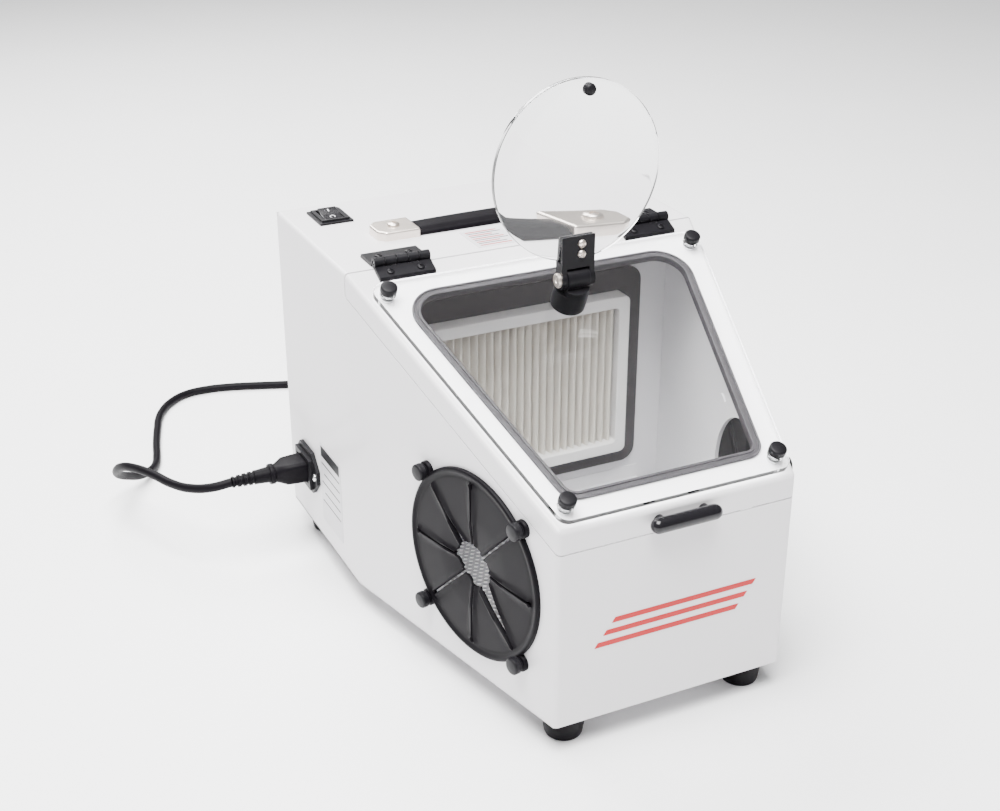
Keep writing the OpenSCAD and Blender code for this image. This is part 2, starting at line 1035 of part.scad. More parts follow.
// The clamp's plates bear on two flats cut into the bulging faces.
module magnifier_lens() {
    color(clear)
        place()
            translate([0, pivot_y, pivot_z + lens_drop + lens_d / 2])
                rotate([90, 0, 0])
                    difference() {
                        union() {
                            translate([0, 0, -lens_t / 2])
                                cylinder(h = lens_t, d = lens_d, $fn = 96);
                            lens_cap();
                            mirror([0, 0, 1])
                                lens_cap();
                        }
                        for (side = [0, 1])
                            mirror([0, 0, side])
                                translate([-plate_w / 2 - 0.5, -lens_d / 2 - 1, lens_t / 2])
                                    cube([plate_w + 1, plate_h - lens_drop + 5, 10]);
                        for (z = clamp_screw_z)
                            translate([clamp_screw_x, z - lens_drop - lens_d / 2, 0])
                                cylinder(h = 20, d = 3, center = true);
                        translate([grip_x, lens_d / 2 - grip_inset, lens_t / 2])
                            cylinder(h = 10, d = grip_d + 0.6);
                    }
}

module lens_grip() {
    color(black)
        place()
            translate([grip_x, pivot_y - lens_t / 2, pivot_z + lens_drop + lens_d - grip_inset])
                rotate([90, 0, 0]) {
                    cylinder(h = 4, d = grip_d);
                    translate([0, 0, 4 - eps])
                        cylinder(h = 1.5 + eps, d1 = grip_d, d2 = 5.5);
                }
}

// ---------- Carrying handle ----------

module carry_strap() {
    length = handle_len - 14;
    color(rubber)
        place()
            difference() {
                translate([0, strap_y, cab_h + 0.4])
                    along_x(length)
                        polygon([
                            [-strap_w / 2, 0], [strap_w / 2, 0], [strap_w / 2, 2],
                            [strap_w / 2 - 3, strap_t - 0.4], [-strap_w / 2 + 3, strap_t - 0.4],
                            [-strap_w / 2, 2]
                        ]);
                at_handle_screws()
                    translate([0, 0, -1])
                        cylinder(h = 20, d = 5);
            }
}

module handle_end_caps() {
    w = strap_w + 3;
    color(steel)
        place()
            for (side = [0, 1])
                mirror([side, 0, 0])
                    difference() {
                        translate([-handle_len / 2, strap_y, cab_h])
                            linear_extrude(cap_t)
                                polygon([
                                    [0, -w / 2 + 6], [5, -w / 2], [cap_len, -w / 2],
                                    [cap_len, w / 2], [5, w / 2], [0, w / 2 - 6]
                                ]);
                        translate([-handle_len / 2 + 4, strap_y - strap_w / 2 - 0.3, cab_h - 1])
                            cube([cap_len, strap_w + 0.6, strap_t + 1.1]);
                        translate([-(handle_len - cap_len) / 2, strap_y, cab_h])
                            cylinder(h = 20, d = 4);
                    }
}

module handle_screws() {
    color(steel)
        place()
            at_handle_screws()
                translate([0, 0, cap_t])
                    screw(4, cap_t + 8, 9, 2.2);
}

// ---------- Switch and power inlet ----------

module switch_bezel() {
    color(black)
        place()
            difference() {
                union() {
                    translate([switch_x, switch_y, cab_h + 0.75])
                        cube([25.5, 31, 1.5], center = true);
                    translate([switch_x, switch_y, cab_h + 1.5])
                        cube([21, 26, 3], center = true);
                    translate([switch_x, switch_y, cab_h - 10])
                        cube([21.6, 27.6, 20], center = true);
                }
                translate([switch_x, switch_y, cab_h])
                    cube([rocker_w + 1, 21.4, 24], center = true);
                translate([switch_x, switch_y, rocker_pivot_z])
                    rotate([0, 90, 0])
                        cylinder(h = rocker_w + 3, d = rocker_pin_d, center = true);
            }
}

// Modelled at its middle position and then turned to the off side.
module switch_rocker() {
    color(black)
        place()
            translate([switch_x, switch_y, rocker_pivot_z])
                rotate([rocker_tilt, 0, 0]) {
                    rotate([0, 90, 0])
                        cylinder(h = rocker_w + 2, d = rocker_pin_d - 2 * run_fit, center = true);
                    translate([-rocker_w / 2, 0, 0])
                        rotate([90, 0, 90])
                            linear_extrude(rocker_w)
                                polygon([
                                    [-9.2, 1.5], [-9.2, 5], [-8.6, 6.4], [0, 5.2],
                                    [8.6, 6.4], [9.2, 5], [9.2, 1.5], [3, -2.5], [-3, -2.5]
                                ]);
                }
}

module power_inlet() {
    flange_l = 48;
    flange_h = 34;
    color(black)
        place()
            translate([-half_rear, inlet_y, inlet_z])
                rotate([0, -90, 0])
                    difference() {
                        union() {
                            linear_extrude(inlet_t)
                                polygon([
                                    [-flange_h / 2, -13], [-5, -flange_l / 2], [5, -flange_l / 2],
                                    [flange_h / 2, -13], [flange_h / 2, 13], [5, flange_l / 2],
                                    [-5, flange_l / 2], [-flange_h / 2, 13]
                                ]);
                            translate([-12.5, -16, 0])
                                cube([25, 32, inlet_t + inlet_collar]);
                            translate([-10.8, -14.8, -22])
                                cube([21.6, 29.6, 22 + eps]);
                        }
                        translate([-8.6, -12.6, -16])
                            cube([17.2, 25.2, 30]);
                        for (y = [-inlet_screws, inlet_screws])
                            translate([0, y, -1])
                                cylinder(h = 10, d = 3);
                    }
}

// All small pan-head screws: inlet, back panel, screen strip and feet.
module case_screws() {
    color(steel)
        place() {
            for (y = [-inlet_screws, inlet_screws])
                translate([-half_rear - inlet_t, inlet_y + y, inlet_z])
                    rotate([0, -90, 0])
                        screw(3, inlet_t + sheet + 3, 5.6, 1.4);
            at_back_screws()
                screw(3, sheet + 4, 6, screw_head);
            at_clip_screws()
                screw(3, sheet + 4, 6, 1.8);
            at_feet()
                translate([0, 0, -10])
                    rotate([180, 0, 0])
                        screw(4, 10 + sheet + 3, 8, 2.5);
        }
}

// ---------- Feet ----------

module at_feet() {
    for (side = [-1, 1]) {
        translate([side * 68, 20, 0])
            children();
        translate([side * 115, cab_d - 22, 0])
            children();
    }
}

module feet() {
    color(rubber)
        place()
            at_feet()
                difference() {
                    translate([0, 0, -foot_h])
                        cylinder(h = foot_h, d1 = foot_d - 6, d2 = foot_d);
                    translate([0, 0, -foot_h - 1])
                        cylinder(h = foot_h - 10 + 1, d = 11);
                    translate([0, 0, -foot_h])
                        cylinder(h = foot_h + 1, d = 4);
                }
}

// ---------- Blower ----------

// Round housing behind the filter, open at the front eye and at the rear.
module blower_housing() {
    depth = 44;
    wall = 1.5;
    color(steel)
        place()
            translate([blower_x, bulk_y + sheet, blower_z])
                rotate([-90, 0, 0])
                    difference() {
                        cylinder(h = depth, d = impeller_d + 20);
                        translate([0, 0, wall])
                            cylinder(h = depth, d = impeller_d + 20 - 2 * wall);
                        cylinder(h = 10, d = 60, center = true);
                    }
}

// Motor on a cross bar at the rear of the housing, with its shaft forward.
module blower_motor() {
    bar_y = bulk_y + sheet + 44;
    color(steel)
        place()
            translate([blower_x, bar_y, blower_z]) {
                translate([-(impeller_d + 20) / 2, 0, -12])
                    cube([impeller_d + 20, 2, 24]);
                rotate([-90, 0, 0]) {
                    cylinder(h = 46, d = 62);
                    translate([0, 0, 46])
                        cylinder(h = 6, d = 24);
                    translate([0, 0, -36])
                        cylinder(h = 36 + eps, d = shaft_d);
                }
            }
}

module blower_impeller() {
    blades = 12;
    width = 26;
    back = 2;
    y0 = bulk_y + sheet + 6;
    color("#9aa0a6")
        place()
            translate([blower_x, y0, blower_z])
                rotate([-90, 0, 0])
                    difference() {
                        union() {
                            translate([0, 0, width])
                                cylinder(h = back, d = impeller_d);
                            translate([0, 0, 4])
                                cylinder(h = width - 4 + eps, d = 20);
                            for (i = [0:blades - 1])
                                rotate([0, 0, i * 360 / blades])
                                    translate([24, 0, 2])
                                        rotate([0, 0, 30])
                                            cube([22, 1.4, width - 2 + eps]);
                        }
                        translate([0, 0, -1])
                            cylinder(h = width + back + 2, d = shaft_d + 2 * run_fit);
                    }
}

// ---------- Labels and stripe, all blank ----------

module labels() {
    label_t = 0.3;
    color("#e8e8ea")
        place() {
            translate([-half_rear - label_t, 243, 17])
                cube([label_t, 44, 66]);
            translate([-33, 221, cab_h])
                cube([32, 35, label_t]);
        }
}

module front_stripe() {
    stripe_t = 0.3;
    color("#c02030")
        place()
            for (i = [0:2])
                translate([-58 + i * 6, -stripe_t, 53 + i * 8])
                    cube([106, stripe_t, 3.5]);
}

// ---------- Mains lead ----------

// Connector in the inlet, with its tapered strain relief.
module power_connector() {
    neck_l = 32;
    body_l = 27;
    color(rubber)
        place()
            translate([-half_rear - inlet_t, inlet_y, inlet_z]) {
                translate([-body_l, -11, -8.5])
                    cube([body_l, 22, 17]);
                translate([-eps, -11.5, -8])
                    cube([12, 23, 16]);
                rotate([0, -90, 0])
                    translate([0, 0, body_l - eps])
                        cylinder(h = neck_l + eps, d1 = 13, d2 = cord_d + 1.5);
            }
}

function unit(v) = v / norm(v);
function ring_frame(d) = let (side = unit(cross(d, [0.05, 0.03, 1]))) [side, cross(side, d)];
function tangent(p, i) = unit(p[min(i + 1, len(p) - 1)] - p[max(i - 1, 0)]);
function ring(c, d, r, n) = let (f = ring_frame(d)) [
    for (k = [0:n - 1]) let (a = 360 * k / n) c + r * (cos(a) * f[0] + sin(a) * f[1])
];

// A point on the smooth curve through p, between its points i and i + 1.
function mid(p, i, t) = let (
    a = p[max(i - 1, 0)], b = p[i], c = p[i + 1], d = p[min(i + 2, len(p) - 1)]
) 0.5 * (2 * b + (c - a) * t + (2 * a - 5 * b + 4 * c - d) * t * t + (3 * b - a - 3 * c + d) * t * t * t);
function smooth(p, n) = concat([for (i = [0:len(p) - 2], j = [0:n - 1]) mid(p, i, j / n)], [p[len(p) - 1]]);

module sweep(path, r, sides) {
    rings = len(path);
    pts = [for (i = [0:rings - 1]) each ring(path[i], tangent(path, i), r, sides)];
    walls = [for (i = [0:rings - 2], k = [0:sides - 1]) each [
        [i * sides + k, i * sides + (k + 1) % sides, (i + 1) * sides + k],
        [i * sides + (k + 1) % sides, (i + 1) * sides + (k + 1) % sides, (i + 1) * sides + k]
    ]];
    first = [for (k = [sides - 1:-1:0]) k];
    last = [for (k = [0:sides - 1]) (rings - 1) * sides + k];
    polyhedron(points = pts, faces = concat([first], walls, [last]));
}

module cord_run() {
    color(rubber)
        place()
            sweep(smooth(cord_points, 2), cord_d / 2, 10);
}

// Outer shape of the stored coil, lying on the ground behind the cabinet.
module cord_coil() {
    color(rubber)
        place()
            translate([coil_at[0], coil_at[1], -foot_h])
                rotate_extrude()
                    translate([coil_d / 2 - coil_columns * cord_d / 2, 0])
                        square([coil_columns * cord_d, coil_rows * cord_d]);
}

// Three-pin plug that lies beside the coil.
module mains_plug() {
    color(black)
        place()
            translate([plug_x, plug_y, -foot_h + 12]) {
                translate([0, -11, -12])
                    cube([32, 22, 24]);
                rotate([0, -90, 0])
                    cylinder(h = plug_x - 18, d1 = 13, d2 = cord_d + 1.5);
                for (y = [-6.35, 6.35])
                    translate([32 - eps, y - 0.75, -1])
                        cube([17, 1.5, 6.3]);
                translate([32 - eps, 0, -6.5])
                    rotate([0, 90, 0])
                        cylinder(h = 19, d = 4.8);
            }
}

front_panel();
side_panel_left();
side_panel_right();
floor_pan();
top_panel();
back_panel();
bulkhead();
grit_screen();
screen_clip();
filter_gasket();
filter_frame();
filter_media();
port_rings();
port_diaphragm_left();
port_diaphragm_right();
hinge_upper_leaves();
hinge_pins();
hinge_screws_upper();
carry_strap();
handle_end_caps();
handle_screws();
switch_bezel();
power_inlet();
case_screws();
feet();
blower_housing();
blower_motor();
labels();
front_stripe();
power_connector();
cord_run();
cord_coil();
mains_plug();
lid_frame();
window_gasket();
window_pane();
window_studs();
hinge_lower_leaves();
hinge_screws_lower();
lid_pull();
lid_pull_screws();
magnifier_base();
magnifier_clamp();
magnifier_screws();
magnifier_lens();
lens_grip();
switch_rocker();
blower_impeller();
window_knob_front_left();
window_knob_front_right();
window_knob_rear_left();
window_knob_rear_right();
port_knob_left_upper_front();
port_knob_left_upper_rear();
port_knob_left_lower_front();
port_knob_left_lower_rear();
port_knob_right_upper_front();
port_knob_right_upper_rear();
port_knob_right_lower_front();
port_knob_right_lower_rear();
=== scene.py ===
"""The looks of a bench-top abrasive blast cabinet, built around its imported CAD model.

Sizes are in millimetres in the cabinet's own frame, which has its front face at y = 0 and
the underside of its sheet metal at z = 0. CABINET turns that frame into the row frame in
metres, ON_LID does the same for the lid's plane and on_wall() for the two tapered walls.
"""

import json
import math

import bmesh
import bpy
from mathutils import Matrix, Vector


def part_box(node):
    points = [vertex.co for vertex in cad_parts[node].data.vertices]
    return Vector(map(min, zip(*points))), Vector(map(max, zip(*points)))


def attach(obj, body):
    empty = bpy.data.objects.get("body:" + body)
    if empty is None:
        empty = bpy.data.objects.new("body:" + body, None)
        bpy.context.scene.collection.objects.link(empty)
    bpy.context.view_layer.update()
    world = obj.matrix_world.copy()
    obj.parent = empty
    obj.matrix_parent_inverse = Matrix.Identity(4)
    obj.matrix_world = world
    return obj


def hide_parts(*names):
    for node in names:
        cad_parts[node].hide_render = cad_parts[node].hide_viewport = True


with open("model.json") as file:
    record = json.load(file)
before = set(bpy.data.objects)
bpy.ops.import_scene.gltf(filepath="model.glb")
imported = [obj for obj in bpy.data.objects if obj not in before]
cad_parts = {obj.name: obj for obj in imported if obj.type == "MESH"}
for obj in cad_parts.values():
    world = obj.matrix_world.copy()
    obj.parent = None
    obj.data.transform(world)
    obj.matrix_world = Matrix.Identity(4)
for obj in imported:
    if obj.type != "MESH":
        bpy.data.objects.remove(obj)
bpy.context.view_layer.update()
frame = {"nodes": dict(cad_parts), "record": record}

# ---------- Sizes, in millimetres ----------

MM = 0.001
FRONT_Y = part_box("front_panel")[0].y / MM
FOOT_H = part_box("floor_pan")[0].z / MM
HALF_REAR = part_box("floor_pan")[1].x / MM
HALF_FRONT = 85
CAB_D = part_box("back_panel")[1].y / MM - FRONT_Y
CAB_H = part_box("back_panel")[1].z / MM - FOOT_H
TAPER_D = 215
LID_FRONT = 143
SKIRT = 16
SEAM = 1
SHEET = 1.2
FOLD = 3
TAPER = math.atan((HALF_REAR - HALF_FRONT) / TAPER_D)
SLOPE = math.atan((CAB_H - LID_FRONT) / TAPER_D)
LID_LEN = TAPER_D / math.cos(SLOPE)
LID_FLARE = math.atan((HALF_REAR - HALF_FRONT) / LID_LEN)

PORT_U, PORT_Z = 81, 83
PORT_R = 66
PORT_RIM_T = 3
PORT_HOLE_R = 54
KNOB_HALF = 49
EAR_R = 6
WINDOW_KNOBS = [(75, 14), (116, 205.5)]
PANE_TOP = 6
WASHER_T = 1
GAP = 0.3

BASE_S = 170
PIVOT_N = 30
PIVOT_Y = BASE_S * math.cos(SLOPE) - PIVOT_N * math.sin(SLOPE)
PIVOT_Z = LID_FRONT + BASE_S * math.sin(SLOPE) + PIVOT_N * math.cos(SLOPE)
LENS_R = 60
LENS_RIM = 2
LENS_BULGE = 4.5
LENS_DROP = 13
PLATE_FACE = 4.5

STRAP_Y = 274
HANDLE_HALF = 91
CAP_LEN = 31
CAP_W = 27
CAP_T = 6.5
SWITCH_X, SWITCH_Y = -104, 327
ROCKER_TILT = math.radians(11)
INLET_Y, INLET_Z, INLET_T = 314, 49, 3
INLET_SCREWS = 20
HINGE_X, HINGE_SCREWS, HINGE_SCREW_Y = 93.75, 11, 228.5
LEAF_T = 2.8
PULL_Z = LID_FRONT - 7.5
PULL_POSTS = 16
FEET = [(-68, 20), (68, 20), (-115, CAB_D - 22), (115, CAB_D - 22)]
LABEL_T = 0.25
INK = (0.2, 0.31)

CORD_D = 7
COIL_R = 38
COIL_TOP_Y = 588.5
PLUG_X, PLUG_Z = 40, 12 - FOOT_H

CABINET = Matrix.Translation((0, FRONT_Y * MM, FOOT_H * MM)) @ Matrix.Scale(MM, 4)
ON_LID = CABINET @ Matrix.Translation((0, 0, LID_FRONT)) @ Matrix.Rotation(SLOPE, 4, "X")
AS_IT_IS = Matrix.Identity(4)


def at(x, y, z):
    return Matrix.Translation((x, y, z))


def turn(degrees, axis):
    return Matrix.Rotation(math.radians(degrees), 4, axis)


def on_wall(side):
    """Frame of an arm port: x to the front, y up and z out of the wall; side is -1 on the left."""
    left = Matrix(
        (
            (math.sin(TAPER), 0, -math.cos(TAPER), -HALF_FRONT - PORT_U * math.sin(TAPER)),
            (-math.cos(TAPER), 0, -math.sin(TAPER), PORT_U * math.cos(TAPER)),
            (0, 1, 0, PORT_Z),
            (0, 0, 0, 1),
        )
    )
    mirror = Matrix.Diagonal((1 if side < 0 else -1, 1, 1, 1))
    return CABINET @ mirror @ left


# ---------- Camera and light ----------


def look(location, direction):
    turned = Vector(direction).to_track_quat("-Z", "Y").to_matrix().to_4x4()
    return Matrix.Translation(location) @ turned


def make_camera():
    data = bpy.data.cameras.new("camera")
    data.lens = 54.8
    data.sensor_width = 36
    data.clip_start = 0.01
    camera = bpy.data.objects.new("camera", data)
    camera.matrix_world = look((-0.45184, -0.85698, 0.62261), (0.38978, 0.81121, -0.43590))
    bpy.context.scene.collection.objects.link(camera)
    bpy.context.scene.camera = camera


def softbox(name, location, target, width, height, watts):
    data = bpy.data.lights.new(name, "AREA")
    data.shape = "RECTANGLE"
    data.size, data.size_y = width, height
    data.energy = watts
    light = bpy.data.objects.new(name, data)
    light.matrix_world = look(location, Vector(target) - Vector(location))
    bpy.context.scene.collection.objects.link(light)


def make_light():
    world = bpy.data.worlds.new("studio")
    world.use_nodes = True
    sky = world.node_tree.nodes["Background"]
    sky.inputs["Color"].default_value = (1, 1, 1, 1)
    sky.inputs["Strength"].default_value = 0.4
    bpy.context.scene.world = world
    softbox("key_box", (-0.4, -0.4, 1.9), (0, 0, 0.1), 1.3, 1.3, 165)
    softbox("back_box", (-0.2, 1.4, 1.6), (0, 0.1, 0.15), 1.2, 1.2, 85)


# ---------- Materials ----------


def node(tree, kind, **values):
    made = tree.nodes.new(kind)
    for name, value in values.items():
        made.inputs[name.replace("_", " ")].default_value = value
    return made


def material(
    name, color, roughness, metallic=0, shade=0.04, spread=0.05, patch=30,
    grain=900, bump=0.1, depth=0.0001, stretch=(1, 1, 1), coat=0, specular=0.5,
):
    """A Principled surface with patchy colour and roughness, and a grain in its normals."""
    made = bpy.data.materials.new(name)
    made.use_nodes = True
    tree = made.node_tree
    link = tree.links.new
    shader = tree.nodes["Principled BSDF"]
    shader.inputs["Metallic"].default_value = metallic
    shader.inputs["Coat Weight"].default_value = coat
    shader.inputs["Coat Roughness"].default_value = 0.12
    shader.inputs["Specular IOR Level"].default_value = specular
    place = tree.nodes.new("ShaderNodeTexCoord")
    scale = tree.nodes.new("ShaderNodeMapping")
    scale.inputs["Scale"].default_value = stretch
    link(place.outputs["Object"], scale.inputs["Vector"])
    broad = node(tree, "ShaderNodeTexNoise", Scale=patch, Detail=5.0, Roughness=0.6)
    fine = node(tree, "ShaderNodeTexNoise", Scale=grain, Detail=3.0, Roughness=0.55)
    link(scale.outputs["Vector"], broad.inputs["Vector"])
    link(scale.outputs["Vector"], fine.inputs["Vector"])
    ramp = tree.nodes.new("ShaderNodeValToRGB")
    for i, level in ((0, 1 - shade), (1, 1 + shade)):
        ramp.color_ramp.elements[i].position = 0.3 + 0.4 * i
        ramp.color_ramp.elements[i].color = [min(1, c * level) for c in color] + [1]
    link(broad.outputs["Fac"], ramp.inputs["Fac"])
    link(ramp.outputs["Color"], shader.inputs["Base Color"])
    spreader = tree.nodes.new("ShaderNodeMapRange")
    spreader.inputs["To Min"].default_value = max(0.02, roughness - spread)
    spreader.inputs["To Max"].default_value = min(1, roughness + spread)
    link(broad.outputs["Fac"], spreader.inputs["Value"])
    link(spreader.outputs["Result"], shader.inputs["Roughness"])
    dents = node(tree, "ShaderNodeBump", Strength=bump, Distance=depth)
    link(fine.outputs["Fac"], dents.inputs["Height"])
    link(dents.outputs["Normal"], shader.inputs["Normal"])
    return made


def clear_material(name, tint, roughness):
    """Clear plastic that lets lamps through, with faint handling marks in its gloss."""
    made = material(name, tint, roughness, shade=0.005, spread=roughness, patch=40, bump=0.01)
    tree = made.node_tree
    shader = tree.nodes["Principled BSDF"]
    shader.inputs["Transmission Weight"].default_value = 1
    shader.inputs["IOR"].default_value = 1.49
    path = tree.nodes.new("ShaderNodeLightPath")
    mix = tree.nodes.new("ShaderNodeMixShader")
    through = tree.nodes.new("ShaderNodeBsdfTransparent")
    through.inputs["Color"].default_value = (0.93, 0.94, 0.94, 1)
    tree.links.new(path.outputs["Is Shadow Ray"], mix.inputs["Fac"])
    tree.links.new(shader.outputs["BSDF"], mix.inputs[1])
    tree.links.new(through.outputs["BSDF"], mix.inputs[2])
    tree.links.new(mix.outputs["Shader"], tree.nodes["Material Output"].inputs["Surface"])
    return made


def make_materials():
    """One material for each of the record's material slots."""
    return {
        "white_paint": material(
            "white_paint", (0.68, 0.665, 0.68), 0.42, shade=0.01, patch=12, grain=700, bump=0.22,
            coat=0.2,
        ),
        "screen_steel": material(
            "screen_steel", (0.3, 0.3, 0.31), 0.34, metallic=0.8, shade=0.06, patch=60, bump=0.2
        ),
        "black_plastic": material(
            "black_plastic", (0.005, 0.0046, 0.006), 0.42, shade=0.15, patch=80, grain=1400, bump=0.25,
            specular=0.15,
        ),
        "black_gloss": material(
            "black_gloss", (0.006, 0.0055, 0.007), 0.2, shade=0.1, patch=60, grain=500, bump=0.04,
            specular=0.35,
        ),
        "black_rubber": material(
            "black_rubber", (0.004, 0.0034, 0.0046), 0.45, shade=0.12, patch=45, grain=1200, bump=0.2,
            specular=0.06,
        ),
        "grey_rubber": material(
            "grey_rubber", (0.02, 0.0175, 0.0205), 0.5, shade=0.1, patch=60, grain=1000, bump=0.2,
            specular=0.3,
        ),
        "grey_foam": material(
            "grey_foam", (0.045, 0.039, 0.042), 0.85, shade=0.08, patch=90, grain=1600, bump=0.6,
            depth=0.0003,
        ),
        "filter_card": material(
            "filter_card", (0.7, 0.68, 0.67), 0.6, shade=0.03, patch=50, grain=800, bump=0.25
        ),
        "filter_paper": material(
            "filter_paper", (0.66, 0.62, 0.56), 0.9, shade=0.06, patch=40, grain=1500, bump=0.5,
            stretch=(1, 1, 0.15),
        ),
        "nickel": material(
            "nickel", (0.84, 0.76, 0.69), 0.34, metallic=1, shade=0.04, patch=70, grain=900, bump=0.08,
            stretch=(1, 4, 4),
        ),
        "zinc_steel": material(
            "zinc_steel", (0.68, 0.68, 0.69), 0.24, metallic=1, shade=0.08, patch=200, bump=0.1
        ),
        "motor_steel": material(
            "motor_steel", (0.36, 0.36, 0.37), 0.42, metallic=1, shade=0.08, patch=50, bump=0.15
        ),
        "impeller_plastic": material(
            "impeller_plastic", (0.3, 0.31, 0.33), 0.5, shade=0.05, patch=60, bump=0.15
        ),
        "label_film": material(
            "label_film", (0.56, 0.55, 0.57), 0.38, shade=0.03, patch=50, grain=600, bump=0.05
        ),
        "red_film": material(
            "red_film", (0.42, 0.002, 0.006), 0.4, shade=0.05, patch=70, grain=600, bump=0.05,
            specular=0.3,
        ),
        "clear_acrylic": clear_material("clear_acrylic", (0.98, 0.985, 0.985), 0.008),
    }


# ---------- Mesh helpers ----------


def piece(name, bm, body, slot, nodes=(), sharp=35, weighted=False):
    bmesh.ops.recalc_face_normals(bm, faces=bm.faces)
    for face in bm.faces:
        face.smooth = True
    for edge in bm.edges:
        edge.smooth = not edge.is_manifold or edge.calc_face_angle(0) < math.radians(sharp)
    mesh = bpy.data.meshes.new(name)
    bm.to_mesh(mesh)
    bm.free()
    made = bpy.data.objects.new(name, mesh)
    bpy.context.scene.collection.objects.link(made)
    mesh.materials.append(MATERIALS[slot])
    if weighted:
        soften = made.modifiers.new("weighted", "WEIGHTED_NORMAL")
        soften.keep_sharp = True
        soften.weight = 80
    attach(made, body)
    if nodes:
        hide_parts(*nodes)
    return made


def bevel(bm, edges, width, segments=2):
    """Rounds edges; width is in the units of bm."""
    bmesh.ops.bevel(
        bm, geom=edges, offset=width, offset_type="OFFSET", segments=segments,
        profile=0.5, affect="EDGES", clamp_overlap=True,
    )


def sharp_edges(bm, degrees=30):
    limit = math.radians(degrees)
    return [e for e in bm.edges if e.is_manifold and e.calc_face_angle(0) > limit]


def body_of(cad_node):
    bodies = frame["record"]["behaviour"]["bodies"]
    return next(body for body, names in bodies.items() if cad_node in names)


def softened(cad_node, slot, width=0.4, segments=2):
    """A copy of a CAD node with its edges rounded, which stands for the node."""
    bm = bmesh.new()
    bm.from_mesh(frame["nodes"][cad_node].data)
    bmesh.ops.remove_doubles(bm, verts=bm.verts, dist=1e-6)
    bmesh.ops.dissolve_limit(bm, angle_limit=math.radians(1), verts=bm.verts, edges=bm.edges)
    bevel(bm, sharp_edges(bm), width * MM, segments)
    return piece(cad_node + "_soft", bm, body_of(cad_node), slot, [cad_node], weighted=True)


def add_mesh(bm, verts, faces, place):
    made = [bm.verts.new(place @ Vector(v)) for v in verts]
    for face in faces:
        bm.faces.new([made[i] for i in face])
    return made


def face_up(bm):
    """Turns the normals of an open shell over if they look down on the whole."""
    if sum(f.normal.z * f.calc_area() for f in bm.faces) < 0:
        bmesh.ops.reverse_faces(bm, faces=bm.faces)


def grid_faces(rows, columns):
    """Quads of a grid of rows by columns."""
    return [
        (r * columns + c, r * columns + c + 1, (r + 1) * columns + c + 1, (r + 1) * columns + c)
        for r in range(rows - 1)
        for c in range(columns - 1)
    ]


def lathe(bm, profile, place, steps=48, flutes=0, flute_depth=0, flute_z=(0, 0)):
    """A closed turned solid about z. The profile, in (r, z), runs from one end of the axis to the other."""
    rings = []
    for r, z in profile:
        if r == 0:
            rings.append([bm.verts.new(place @ Vector((0, 0, z)))])
            continue
        ring = []
        for k in range(steps):
            a = 2 * math.pi * k / steps
            cut = flute_depth * (1 - math.cos(flutes * a)) / 2 if flute_z[0] < z < flute_z[1] else 0
            point = Vector(((r - cut) * math.cos(a), (r - cut) * math.sin(a), z))
            ring.append(bm.verts.new(place @ point))
        rings.append(ring)
    for low, high in zip(rings, rings[1:]):
        for k in range(steps):
            j = (k + 1) % steps
            if len(low) == 1:
                bm.faces.new((low[0], high[j], high[k]))
            elif len(high) == 1:
                bm.faces.new((low[k], low[j], high[0]))
            else:
                bm.faces.new((low[k], low[j], high[j], high[k]))


def prism(bm, outline, z0, z1, place):
    """An upright solid on an outline of (x, y) points."""
    n = len(outline)
    low = [bm.verts.new(place @ Vector((x, y, z0))) for x, y in outline]
    high = [bm.verts.new(place @ Vector((x, y, z1))) for x, y in outline]
    bm.faces.new(low[::-1])
    bm.faces.new(high)
    for i in range(n):
        j = (i + 1) % n
        bm.faces.new((low[i], low[j], high[j], high[i]))


def tube_band(bm, outer, inner, z0, z1, place):
    """A ring between two outlines that have the same number of points."""
    n = len(outer)
    loops = [
        [bm.verts.new(place @ Vector((x, y, z))) for x, y in line]
        for line, z in ((outer, z0), (outer, z1), (inner, z1), (inner, z0))
    ]
    for a, b in zip(loops, loops[1:] + loops[:1]):
        for i in range(n):
            j = (i + 1) % n
            bm.faces.new((a[i], a[j], b[j], b[i]))


def arc(cx, cy, r, a0, a1, n=10):
    return [
        (cx + r * math.cos(math.radians(a0 + (a1 - a0) * i / n)),
         cy + r * math.sin(math.radians(a0 + (a1 - a0) * i / n)))
        for i in range(n + 1)
    ]


def round_rect(w, h, r, n=6):
    x, y = w / 2 - r, h / 2 - r
    right = arc(x, y, r, 0, 90, n) + arc(-x, y, r, 90, 180, n)
    return right + arc(-x, -y, r, 180, 270, n) + arc(x, -y, r, 270, 360, n)


def lid_half(s, inset):
    """Half the lid's width at a distance s up its plane, less an inset from its edge."""
    return HALF_FRONT + s * math.tan(LID_FLARE) - inset / math.cos(LID_FLARE)


def lid_outline(s0, s1, inset, r0, r1):
    """A symmetric trapezoid on the lid's plane from s0 to s1, with corner radii r0 and r1."""
    a = lid_half(s0 + r0, inset) - r0 / math.cos(LID_FLARE)
    b = lid_half(s1 - r1, inset) - r1 / math.cos(LID_FLARE)
    flare = math.degrees(LID_FLARE)
    return (
        arc(a, s0 + r0, r0, -90, -flare)
        + arc(b, s1 - r1, r1, -flare, 90)
        + arc(-b, s1 - r1, r1, 90, 180 + flare)
        + arc(-a, s0 + r0, r0, 180 + flare, 270)
    )


def swept(bm, rings):
    """A solid through rings of points that all have the same count, with closed ends."""
    made = [[bm.verts.new(p) for p in ring] for ring in rings]
    n = len(made[0])
    for a, b in zip(made, made[1:]):
        for i in range(n):
            j = (i + 1) % n
            bm.faces.new((a[i], a[j], b[j], b[i]))
    bm.faces.new(made[0][::-1])
    bm.faces.new(made[-1])


